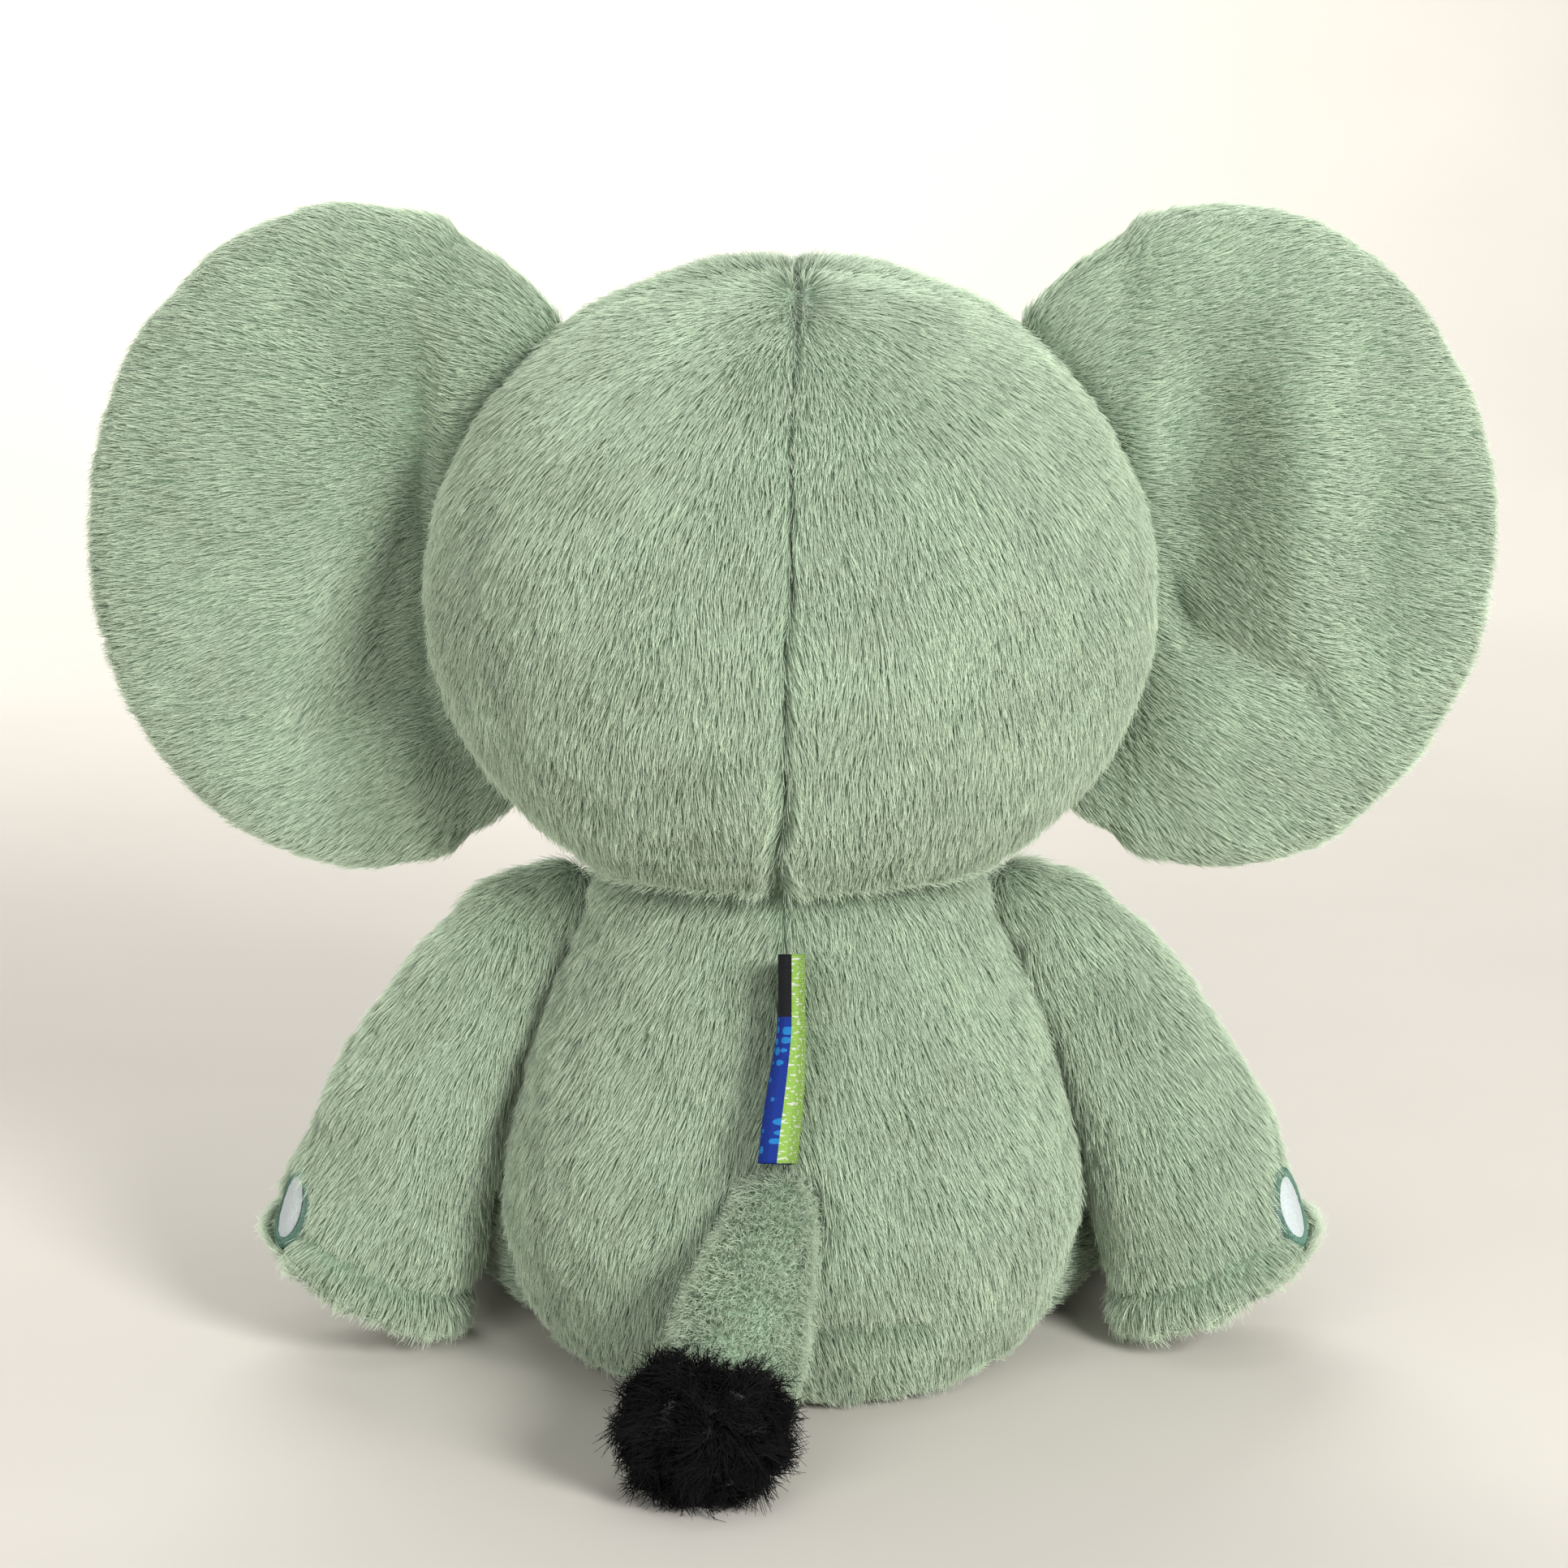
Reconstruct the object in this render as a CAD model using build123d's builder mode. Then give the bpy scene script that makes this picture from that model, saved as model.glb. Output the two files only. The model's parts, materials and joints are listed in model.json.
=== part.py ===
from build123d import *
import os
from math import cos, pi, radians, sin

# A seated stuffed elephant, about 28 cm tall. Every face here is the fabric backing:
# the pile of the plush stands PILE beyond it. +Z is up, the toy faces -Y, its own left
# is +X, and the origin is on the table under the middle of the seat. Millimetres.
PILE = 5.0
FABRIC = 1.5  # plush backing with its seam allowance
EASE = 0.2  # gap between a skin and the filling inside it
RUN = 0.6  # gap between a moving piece and the socket it turns in
BALL_LIP = 0.5  # how far the ball at a limb's root stands proud of the sleeve

# Torso: a gathered pear, as (radius, height) up its side
SEAT_R = 44.0
TORSO_SIDE = [(54, 7), (61.5, 18), (66.5, 32), (67, 44), (64.5, 58), (59.5, 74), (54, 90), (48.5, 106), (45, 116)]
NECK_Z = 126.0
NECK_R = 43.5
TORSO_TOP_Z = 134.0
POUCH_AT = (0, 16, FABRIC + 2 * EASE)
POUCH_R, POUCH_H, POUCH_ROUND = 28.0, 17.0, 7.0

# Neck: the head turns and nods about the middle of the neck seam
NECK_BALL_R = 46.5
HEAD_FLOOR_Z = 146.0
THREAD_R = 1.0
NECK_RING_R = 37.0

# Head: a wide ball, with a crown seam from ear to ear
HEAD_R, HEAD_H, HEAD_Z = 84.0, 76.5, 192.5
EAR_Y = -8.0
CROWN_TILT = 18.0
EYE_TURN, EYE_RISE = 27.0, 8.0
EYE_R, STEM_R, STEM_L = 7.5, 2.2, 12.0
WASHER_R, WASHER_T, WASHER_DEPTH = 8.0, 1.6, 4.0

# Ears: oval pads, each with a flat root web that is sewn to the side of the head
EAR_AT = (104.0, 203.5)
EAR_RX, EAR_RZ, EAR_T = 65.0, 79.0, 12.0
EAR_EDGE_R = 4.5
EAR_ROOT_GAP, EAR_WEB_GAP = 5.0, 1.2

# Trunk: a tube that hangs from the face, as (y, z, radius) down its middle
TRUNK = [(-80, 172, 18), (-97, 165, 17), (-111, 151, 15.5), (-118, 134, 14), (-123, 118, 13), (-130, 104, 12.5)]
TRUNK_SOCKET_R = 19.8

# Arms: (x, z, radius) down the left arm's middle, all at ARM_Y; the paw's sole faces down and out
ARM = [(57, 112, 9), (66, 106.5, 10.5), (76, 95, 12.5), (86, 78, 15.5), (94, 58, 19), (101, 37, 21.5), (106.5, 18, 22)]
ARM_Y = -3.0
ARM_SOLE_TILT = 27.0

# Legs: a straight tube from a ball in the hip to a flat foot, splayed outward
HIP = (50.0, -20.0, 24.2)
LEG_R, FOOT_R, LEG_L = 22.0, 23.5, 86.0
LEG_SPLAY = 22.0
LEG_LIFT = 30.0

# Felt nails, three on each paw and foot, lying on the pile just above the sole
NAIL_W, NAIL_H, NAIL_T, NAIL_UP, NAIL_STEP = 15.0, 21.0, 1.2, 8.0, 52.0
NAIL_LIFT = 2.0
ARM_NAIL_MID, LEG_NAIL_MID = 30.0, 90.0

# Tail and its pompom, and the folded label in the back seam
TAIL = [(4, 67, 54, 6.5), (7, 78, 46, 8.8), (10.5, 90, 36, 11.5), (14, 101, 27, 12)]
TAIL_END_R = 12.5
TAIL_SOCKET_R = 12.5
TUFT_AT, TUFT_R = (20.0, 114.0, 17.5), 17.0
LABEL_FOOT, LABEL_HEAD = (0.0, 66.0, 67.0), (0.0, 50.5, 115.0)
LABEL_OUT, LABEL_LOOP_R, LABEL_T = 13.5, 4.0, 0.5


def keep(work, name):
    """Labels a finished piece and writes it as its own STEP file."""
    work.part.label = name
    export_step(work.part, f"parts/{name}.step")


def round_blank(points, foot_r, top_z, top_r, foot_z):
    """A solid of revolution about Z with a flat foot, a curved side and a flat top."""
    with BuildPart() as blank:
        with BuildSketch(Plane.XZ):
            with BuildLine():
                side = Spline((foot_r, foot_z), *points, (top_r, NECK_Z))
                shoulder = Line(side @ 1, (top_r - 5, top_z))
                Polyline(shoulder @ 1, (0, top_z), (0, foot_z), side @ 0)
            make_face()
        revolve(axis=Axis.Z)
    return blank.part


def torso_blank(inset):
    """The torso's solid, inset from its outer face."""
    points = [(r - inset, z) for r, z in TORSO_SIDE]
    return round_blank(points, SEAT_R - inset, TORSO_TOP_Z - inset, NECK_R - inset, inset)


def ellipsoid(centre, wide, tall):
    """A solid ellipsoid of revolution about its own vertical axis."""
    with BuildPart() as ball:
        with BuildSketch(Plane(origin=centre, x_dir=(1, 0, 0), z_dir=(0, -1, 0))):
            Ellipse(wide, tall)
            Rectangle(wide, 2 * tall, align=(Align.MIN, Align.CENTER), mode=Mode.INTERSECT)
        revolve(axis=Axis(centre, (0, 0, 1)))
    return ball.part


def head_blank(grow):
    """The head's solid, grown or shrunk from its outer face."""
    return ellipsoid((0, 0, HEAD_Z), HEAD_R + grow, HEAD_H + grow)


def spine_planes(points, last_normal=None):
    """A plane across each point of a limb's middle line, facing along it."""
    planes = []
    for i, point in enumerate(points):
        before = Vector(*points[max(i - 1, 0)])
        after = Vector(*points[min(i + 1, len(points) - 1)])
        planes.append(Plane(origin=point, z_dir=(after - before).normalized()))
    if last_normal is not None:
        planes[-1] = Plane(origin=points[-1], z_dir=last_normal)
    return planes


def tube(planes, sizes, grow=0.0):
    """A round limb through the planes, with a slightly prouder ball at its root."""
    radii = [sizes[0] - BALL_LIP] + list(sizes[1:])
    with BuildPart() as limb:
        for plane, radius in zip(planes, radii):
            with BuildSketch(plane):
                Circle(radius + grow)
        loft()
        with Locations(planes[0].origin):
            Sphere(sizes[0] + grow)
    return limb.part


def surface_plane(turn, rise):
    """The plane on the head's face at this turn from straight ahead and rise, facing out."""
    across = cos(radians(rise)) * sin(radians(turn))
    ahead = -cos(radians(rise)) * cos(radians(turn))
    up = sin(radians(rise))
    normal = Vector(across / HEAD_R, ahead / HEAD_R, up / HEAD_H)
    return Plane(origin=(HEAD_R * across, HEAD_R * ahead, HEAD_Z + HEAD_H * up), z_dir=normal)


def leg_direction(side):
    """Unit vector from the hip to the foot."""
    return Vector(side * sin(radians(LEG_SPLAY)), -cos(radians(LEG_SPLAY)), 0)


def hip_clearance(side):
    """The room that a leg needs in the torso: its ball, and the sweep of its tube from rest to full lift."""
    hip = Vector(side * HIP[0], HIP[1], HIP[2])
    level = leg_direction(side)
    with BuildPart() as room:
        with Locations(hip):
            Sphere(LEG_R + RUN)
        for lift in (0, radians(LEG_LIFT)):
            along = level * cos(lift) + Vector(0, 0, sin(lift))
            with BuildSketch(Plane(origin=hip, z_dir=along)):
                Circle(LEG_R + RUN + 0.3)
            extrude(amount=LEG_L)
        with BuildSketch(Plane(origin=hip, x_dir=level, z_dir=level.cross(Vector(0, 0, 1)))):
            with BuildLine():
                sweep_arc = CenterArc((0, 0), LEG_L - 1, 0, LEG_LIFT)
                Polyline(sweep_arc @ 1, (0, 0), sweep_arc @ 0)
            make_face()
        extrude(amount=LEG_R + RUN - 0.3, both=True)
    return room.part


def tail_clearance():
    """The socket in the back seam that the tail's root turns in."""
    with BuildPart() as room:
        with Locations(TAIL[0][:3]):
            Sphere(TAIL_SOCKET_R, rotation=(90, 0, 0))
    return room.part


def neck_room(ball_r, floor_z):
    """The hollow under the head that lets it turn and nod over the torso's top."""
    with BuildPart() as room:
        with Locations((0, 0, NECK_Z)):
            Sphere(ball_r)
        split(bisect_by=Plane.XY.offset(floor_z), keep=Keep.BOTTOM)
    return room.part


def make_torso():
    """Two back panels, a belly panel, a base, the filling, and the bag of pellets."""
    rooms = [hip_clearance(1), hip_clearance(-1), tail_clearance()]
    with BuildPart() as skin:
        add(torso_blank(0))
        add(torso_blank(FABRIC), mode=Mode.SUBTRACT)
        for room in rooms:
            add(room, mode=Mode.SUBTRACT)
    base_top = Plane.XY.offset(FABRIC)

    with BuildPart() as torso_back_left:
        add(skin.part)
        split(bisect_by=base_top, keep=Keep.TOP)
        split(bisect_by=Plane.XZ, keep=Keep.BOTTOM)
        split(bisect_by=Plane.YZ, keep=Keep.TOP)
    keep(torso_back_left, "torso_back_left")

    with BuildPart() as torso_back_right:
        add(skin.part)
        split(bisect_by=base_top, keep=Keep.TOP)
        split(bisect_by=Plane.XZ, keep=Keep.BOTTOM)
        split(bisect_by=Plane.YZ, keep=Keep.BOTTOM)
    keep(torso_back_right, "torso_back_right")

    with BuildPart() as torso_belly:
        add(skin.part)
        split(bisect_by=base_top, keep=Keep.TOP)
        split(bisect_by=Plane.XZ, keep=Keep.TOP)
    keep(torso_belly, "torso_belly")

    with BuildPart() as torso_base:
        add(skin.part)
        split(bisect_by=base_top, keep=Keep.BOTTOM)
    keep(torso_base, "torso_base")

    with BuildPart() as torso_stuffing:
        add(torso_blank(FABRIC + EASE))
        for room in rooms + [pouch_pillow(EASE)]:
            add(room, mode=Mode.SUBTRACT)
    keep(torso_stuffing, "torso_stuffing")

    with BuildPart() as bean_pouch:
        add(pouch_pillow(0))
        add(pouch_pillow(-FABRIC), mode=Mode.SUBTRACT)
    keep(bean_pouch, "bean_pouch")

    with BuildPart() as bean_pellets:
        add(pouch_pillow(-FABRIC - EASE))
    keep(bean_pellets, "bean_pellets")


def pouch_pillow(grow):
    """The bag of pellets: a low round pillow that stands on the base panel."""
    with BuildPart() as pillow:
        with Locations((POUCH_AT[0], POUCH_AT[1], POUCH_AT[2] - grow)):
            Cylinder(POUCH_R + grow, POUCH_H + 2 * grow, align=(Align.CENTER, Align.CENTER, Align.MIN))
        fillet(pillow.edges().group_by(Axis.Z)[-1], POUCH_ROUND + grow)
    return pillow.part


def make_head():
    """Two back panels and two face panels, the filling, the neck seam, and locked eyes."""
    eyes = {"left": surface_plane(EYE_TURN, EYE_RISE), "right": surface_plane(-EYE_TURN, EYE_RISE)}
    trunk_root = (0, TRUNK[0][0], TRUNK[0][1])
    with BuildPart() as skin:
        add(head_blank(0))
        add(head_blank(-FABRIC), mode=Mode.SUBTRACT)
        add(neck_room(NECK_BALL_R, HEAD_FLOOR_Z), mode=Mode.SUBTRACT)
        with Locations(trunk_root):
            Sphere(TRUNK_SOCKET_R, rotation=(0, 90, 0), mode=Mode.SUBTRACT)
        with BuildSketch(*eyes.values()):
            Circle(STEM_R + 0.1)
        extrude(amount=STEM_L, both=True, mode=Mode.SUBTRACT)

    tilt = radians(CROWN_TILT)
    crown = Plane(origin=(0, EAR_Y, EAR_AT[1]), x_dir=(1, 0, 0), z_dir=(0, cos(tilt), -sin(tilt)))
    for half, side_keep in (("left", Keep.TOP), ("right", Keep.BOTTOM)):
        with BuildPart() as head_back:
            add(skin.part)
            split(bisect_by=crown, keep=Keep.TOP)
            split(bisect_by=Plane.YZ, keep=side_keep)
        keep(head_back, f"head_back_{half}")

        with BuildPart() as face:
            add(skin.part)
            split(bisect_by=crown, keep=Keep.BOTTOM)
            split(bisect_by=Plane.YZ, keep=side_keep)
        keep(face, f"face_{half}")

    with BuildPart() as head_stuffing:
        add(head_blank(-FABRIC - EASE))
        add(neck_room(NECK_BALL_R + EASE, HEAD_FLOOR_Z + EASE), mode=Mode.SUBTRACT)
        with Locations(trunk_root):
            Sphere(TRUNK_SOCKET_R + EASE, rotation=(0, 90, 0), mode=Mode.SUBTRACT)
        with BuildSketch(*eyes.values()):
            Circle(WASHER_R + 0.5)
        extrude(amount=-STEM_L - 1, mode=Mode.SUBTRACT)
    keep(head_stuffing, "head_stuffing")

    for half, face_plane in eyes.items():
        with BuildPart(face_plane) as eye:
            Sphere(EYE_R)
            split(bisect_by=face_plane, keep=Keep.TOP)
            with BuildSketch(face_plane):
                Circle(STEM_R)
            extrude(amount=-STEM_L)
        keep(eye, f"eye_{half}")

        with BuildPart() as eye_washer:
            with BuildSketch(face_plane.offset(-WASHER_DEPTH)):
                Circle(WASHER_R)
                Circle(STEM_R + 0.05, mode=Mode.SUBTRACT)
            extrude(amount=-WASHER_T)
        keep(eye_washer, f"eye_washer_{half}")

    with BuildPart() as neck_seam:
        with Locations((0, 0, TORSO_TOP_Z + 0.3 + THREAD_R)):
            Torus(NECK_RING_R, THREAD_R)
    keep(neck_seam, "neck_seam")


def ear_plane(side):
    """The plane through the middle of an ear, facing forward."""
    return Plane(origin=(side * EAR_AT[0], EAR_Y, EAR_AT[1]), x_dir=(1, 0, 0), z_dir=(0, -1, 0))


def ear_pad(side, inset, head_gap):
    """An oval pad with rounded edges, cut back from the head by head_gap."""
    with BuildPart() as pad:
        with BuildSketch(ear_plane(side)):
            Ellipse(EAR_RX - inset, EAR_RZ - inset)
        extrude(amount=EAR_T / 2 - inset, both=True)
        fillet(pad.edges(), EAR_EDGE_R - inset)
        add(head_blank(head_gap), mode=Mode.SUBTRACT)
    return pad.part


def make_ear(half, side):
    """A furry back panel and a smooth inner panel, sewn round a thin wadding."""
    middle = ear_plane(side)
    with BuildPart() as skin:
        add(ear_pad(side, 0, EAR_ROOT_GAP))
        with BuildSketch(middle):
            Ellipse(EAR_RX, EAR_RZ)
        extrude(amount=FABRIC, both=True)
        add(head_blank(EAR_WEB_GAP), mode=Mode.SUBTRACT)
        add(ear_pad(side, FABRIC, EAR_ROOT_GAP + FABRIC), mode=Mode.SUBTRACT)

    with BuildPart() as ear_back:
        add(skin.part)
        split(bisect_by=middle, keep=Keep.BOTTOM)
    keep(ear_back, f"ear_{half}_back")

    with BuildPart() as ear_inner:
        add(skin.part)
        split(bisect_by=middle, keep=Keep.TOP)
    keep(ear_inner, f"ear_{half}_inner")

    with BuildPart() as ear_wadding:
        add(ear_pad(side, FABRIC + EASE, EAR_ROOT_GAP + FABRIC + EASE))
    keep(ear_wadding, f"ear_{half}_wadding")


def make_trunk():
    """A sleeve with a felt tip, and its filling."""
    planes = spine_planes([(0, y, z) for y, z, _ in TRUNK])
    sizes = [radius for _, _, radius in TRUNK]
    with BuildPart() as trunk_sleeve:
        add(tube(planes, sizes))
        add(tube(planes, sizes, -FABRIC), mode=Mode.SUBTRACT)
    keep(trunk_sleeve, "trunk_sleeve")

    with BuildPart() as trunk_tip:
        with BuildSketch(planes[-1]):
            Circle(sizes[-1])
        extrude(amount=FABRIC)
    keep(trunk_tip, "trunk_tip")

    with BuildPart() as trunk_stuffing:
        add(tube(planes, sizes, -FABRIC - EASE))
    keep(trunk_stuffing, "trunk_stuffing")


def nail_planes(end, outward, mid_angle):
    """Three planes on the limb's axis, each facing out through one nail."""
    along = end.z_dir
    aside = along.cross(outward).normalized()
    planes = []
    for step in (-1, 0, 1):
        angle = radians(mid_angle + step * NAIL_STEP)
        facing = outward * cos(angle) + aside * sin(angle)
        planes.append(Plane(origin=end.origin - along * NAIL_UP, x_dir=along.cross(facing), z_dir=facing))
    return planes


def make_limb(name, planes, sizes, upper, lower, divide, nails):
    """Two half sleeves, a flat sole, three felt nails and the filling of an arm or a leg."""
    with BuildPart() as skin:
        add(tube(planes, sizes))
        add(tube(planes, sizes, -FABRIC), mode=Mode.SUBTRACT)

    with BuildPart() as first_half:
        add(skin.part)
        split(bisect_by=divide, keep=Keep.TOP)
    keep(first_half, f"{name}_{upper}")

    with BuildPart() as second_half:
        add(skin.part)
        split(bisect_by=divide, keep=Keep.BOTTOM)
    keep(second_half, f"{name}_{lower}")

    with BuildPart() as sole:
        with BuildSketch(planes[-1]):
            Circle(sizes[-1])
        extrude(amount=FABRIC)
    keep(sole, f"{name}_sole")

    with BuildPart() as felt:
        add(tube(planes, sizes, NAIL_LIFT + NAIL_T))
        add(tube(planes, sizes, NAIL_LIFT), mode=Mode.SUBTRACT)
        with BuildSketch(*nails):
            Ellipse(NAIL_W / 2, NAIL_H / 2)
        extrude(amount=2 * sizes[-1], mode=Mode.INTERSECT)
    keep(felt, f"{name}_nails")

    with BuildPart() as stuffing:
        add(tube(planes, sizes, -FABRIC - EASE))
    keep(stuffing, f"{name}_stuffing")


def make_arm(half, side):
    """An arm that hangs beside the torso, with its seams fore and aft."""
    points = [(side * x, ARM_Y, z) for x, z, _ in ARM]
    tilt = radians(ARM_SOLE_TILT)
    planes = spine_planes(points, Vector(side * sin(tilt), 0, -cos(tilt)))
    outward = Vector(side * cos(tilt), 0, sin(tilt))
    divide = Plane(origin=(0, ARM_Y, 0), x_dir=(1, 0, 0), z_dir=(0, -1, 0))
    mid_angle = side * ARM_NAIL_MID
    nails = nail_planes(planes[-1], outward, mid_angle)
    make_limb(f"arm_{half}", planes, [radius for _, _, radius in ARM], "front", "back", divide, nails)


def make_leg(half, side):
    """A leg that lies on the table, with its seams along both sides."""
    hip = Vector(side * HIP[0], HIP[1], HIP[2])
    along = leg_direction(side)
    points = [tuple(hip + along * (LEG_L * share)) for share in (0, 0.35, 0.7, 1)]
    planes = spine_planes(points)
    sizes = [LEG_R, LEG_R, LEG_R + 0.5, FOOT_R]
    outward = along.cross(Vector(0, 0, 1))
    divide = Plane(origin=hip, x_dir=(1, 0, 0), z_dir=(0, 0, 1))
    nails = nail_planes(planes[-1], outward, -LEG_NAIL_MID)
    make_limb(f"leg_{half}", planes, sizes, "top", "under", divide, nails)


def make_tail():
    """A sleeve sewn into the back seam, its filling, and the pompom tied to its end."""
    points = [point[:3] for point in TAIL]
    sizes = [point[3] for point in TAIL]
    planes = spine_planes(points)
    with BuildPart() as whole:
        add(tube(planes, sizes))
        with Locations(points[-1]):
            Sphere(TAIL_END_R)

    with BuildPart() as core:
        add(tube(planes, sizes, -FABRIC))
        with Locations(points[-1]):
            Sphere(TAIL_END_R - FABRIC)

    with BuildPart() as tail_sleeve:
        add(whole.part)
        add(core.part, mode=Mode.SUBTRACT)
        with BuildSketch(planes[0]):
            Circle(sizes[0] / 3)
        extrude(amount=-2 * sizes[0], mode=Mode.SUBTRACT)
    keep(tail_sleeve, "tail_sleeve")

    with BuildPart() as tail_stuffing:
        add(tube(planes, sizes, -FABRIC - EASE))
        with Locations(points[-1]):
            Sphere(TAIL_END_R - FABRIC - EASE)
    keep(tail_stuffing, "tail_stuffing")

    with BuildPart() as tail_tuft:
        with Locations(TUFT_AT):
            Sphere(TUFT_R)
        with Locations(points[-1]):
            Sphere(TAIL_END_R + RUN, mode=Mode.SUBTRACT)
    keep(tail_tuft, "tail_tuft")


def make_label():
    """A woven ribbon folded in two, sewn upright into the back seam."""
    foot, head = Vector(*LABEL_FOOT), Vector(*LABEL_HEAD)
    with BuildPart() as label:
        with BuildSketch(Plane(origin=foot, x_dir=(0, 1, 0.35), z_dir=(head - foot).normalized())):
            with BuildLine():
                fold = CenterArc((LABEL_OUT - LABEL_LOOP_R, 0), LABEL_LOOP_R, -90, 180)
                Polyline(fold @ 1, (0, 0.6), (0, -0.6), fold @ 0)
            make_face()
            offset(amount=-LABEL_T, kind=Kind.INTERSECTION, mode=Mode.SUBTRACT)
        extrude(amount=(head - foot).length)
    keep(label, "label")


os.makedirs("parts", exist_ok=True)
make_torso()
make_head()
make_trunk()
make_tail()
make_label()
for half, side in (("left", 1), ("right", -1)):
    make_ear(half, side)
    make_arm(half, side)
    make_leg(half, side)
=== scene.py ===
import json
import math

import bmesh
import bpy
import numpy as np
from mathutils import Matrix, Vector


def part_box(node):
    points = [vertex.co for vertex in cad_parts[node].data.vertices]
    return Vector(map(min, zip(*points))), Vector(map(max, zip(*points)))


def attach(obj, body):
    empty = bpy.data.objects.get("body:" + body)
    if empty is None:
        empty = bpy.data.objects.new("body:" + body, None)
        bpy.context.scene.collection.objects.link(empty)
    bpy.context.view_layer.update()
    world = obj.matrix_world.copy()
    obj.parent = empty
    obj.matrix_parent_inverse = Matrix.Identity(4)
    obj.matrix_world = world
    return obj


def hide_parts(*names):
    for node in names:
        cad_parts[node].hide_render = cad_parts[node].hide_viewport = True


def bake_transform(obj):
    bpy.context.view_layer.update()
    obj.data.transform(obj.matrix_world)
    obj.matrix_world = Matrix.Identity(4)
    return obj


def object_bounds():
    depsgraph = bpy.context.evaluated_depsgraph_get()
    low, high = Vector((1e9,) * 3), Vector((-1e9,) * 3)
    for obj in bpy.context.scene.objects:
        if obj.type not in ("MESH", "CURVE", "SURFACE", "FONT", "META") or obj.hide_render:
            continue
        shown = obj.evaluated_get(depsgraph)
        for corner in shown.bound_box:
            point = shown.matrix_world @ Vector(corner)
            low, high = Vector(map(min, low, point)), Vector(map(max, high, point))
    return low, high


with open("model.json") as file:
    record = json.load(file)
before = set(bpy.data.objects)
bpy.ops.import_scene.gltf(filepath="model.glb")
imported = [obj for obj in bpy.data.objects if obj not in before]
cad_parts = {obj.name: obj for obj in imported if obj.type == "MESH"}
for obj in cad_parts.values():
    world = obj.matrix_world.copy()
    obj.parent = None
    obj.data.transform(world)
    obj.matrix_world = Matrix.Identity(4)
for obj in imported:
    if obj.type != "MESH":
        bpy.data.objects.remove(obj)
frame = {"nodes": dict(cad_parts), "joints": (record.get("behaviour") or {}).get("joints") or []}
cad_bounds = [list(corner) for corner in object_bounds()]
NODES = frame["nodes"]
JOINTS = {joint["name"]: joint for joint in frame["joints"]}
SIDES = (("left", 1), ("right", -1))
MM = 0.001


# ---- places taken from the frame
def pivot(joint):
    """The point a joint turns about, in mm."""
    return np.array(JOINTS[joint]["pos_m"]) / MM


def node_box(*names):
    """The lowest and highest corners of some CAD nodes together, in mm."""
    lows, highs = zip(*[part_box(name) for name in names])
    return np.min(np.array(lows), 0) / MM, np.max(np.array(highs), 0) / MM


NECK = pivot("head_nod")
EAR_Y = pivot("ear_left_flap")[1]
EAR_RX = 65.0  # mm, half the width of an ear
EAR_MIDDLE = 19.5  # mm from an ear's hinge out to the middle of its round
NECK_REACH = 46.5  # mm from the neck pivot to the ball the head turns on
PROUD = 2.5  # mm from the fabric backing to the dense foot of the pile
VOXEL = 3.0  # mm between the points of a large piece's first skin
FINE_VOXEL = 2.6  # mm, the same for limbs and ears
SMALL_VOXEL = 2.0  # mm, the same for the tail and its pompom
SWELL = 0.01  # how far the stuffed cloth gives
CLOTH_FRAMES = 20
# The joints that end in the torso, each with how far round its pivot the torso stays unpadded, in mm.
TORSO_SOCKETS = (("leg_left_lift", 32), ("leg_right_lift", 32), ("tail_swing", 15))


# ---- small numeric helpers
def unit(vectors):
    """Each row scaled to length one."""
    return vectors / np.maximum(np.linalg.norm(vectors, axis=-1, keepdims=True), 1e-9)


def distance(points, place):
    """How far each point is from a place."""
    return np.linalg.norm(points - place, axis=1)


def ramp(values, start, end):
    """0 before start, 1 after end, smooth between."""
    t = np.clip((values - start) / (end - start), 0, 1)
    return t * t * (3 - 2 * t)


def ridge(values, width):
    """1 at zero, falling away smoothly over the width."""
    return np.exp(-((values / width) ** 2))


def lumps(points, wavelength, seed):
    """A smooth field of about -1 to 1 with features of this size, the same each run."""
    rng = np.random.default_rng(seed)
    total = np.zeros(len(points))
    for _ in range(7):
        wave = unit(rng.normal(size=3)) * (2 * math.pi / wavelength) * rng.uniform(0.6, 1.4)
        total += np.sin(points @ wave + rng.uniform(0, 2 * math.pi))
    return total / 3.2


# ---- mesh helpers
def new_object(name, mesh):
    obj = bpy.data.objects.new(name, mesh)
    bpy.context.scene.collection.objects.link(obj)
    return obj


def build_mesh(name, verts, faces):
    """A new object from points in metres and faces."""
    mesh = bpy.data.meshes.new(name)
    mesh.from_pydata(verts, [], faces)
    return new_object(name, mesh)


def apply_modifiers(obj):
    """The object's mesh becomes what its modifiers make of it."""
    graph = bpy.context.evaluated_depsgraph_get()
    mesh = bpy.data.meshes.new_from_object(obj.evaluated_get(graph), depsgraph=graph)
    mesh.materials.clear()
    obj.modifiers.clear()
    obj.data = mesh
    return obj


def skin_of(name, nodes, voxel):
    """One closed skin around some CAD nodes, evenly meshed."""
    merged = bmesh.new()
    for node in nodes:
        merged.from_mesh(NODES[node].data)
    mesh = bpy.data.meshes.new(name)
    merged.to_mesh(mesh)
    merged.free()
    obj = new_object(name, mesh)
    remesh = obj.modifiers.new("even", "REMESH")
    remesh.mode = "VOXEL"
    remesh.voxel_size = voxel * MM
    remesh.adaptivity = 0
    return apply_modifiers(obj)


def read_rows(elements, field):
    """A field of three numbers for each element of a mesh, as rows."""
    values = np.zeros(len(elements) * 3, np.float32)
    elements.foreach_get(field, values)
    return values.reshape(-1, 3).astype(float)


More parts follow.
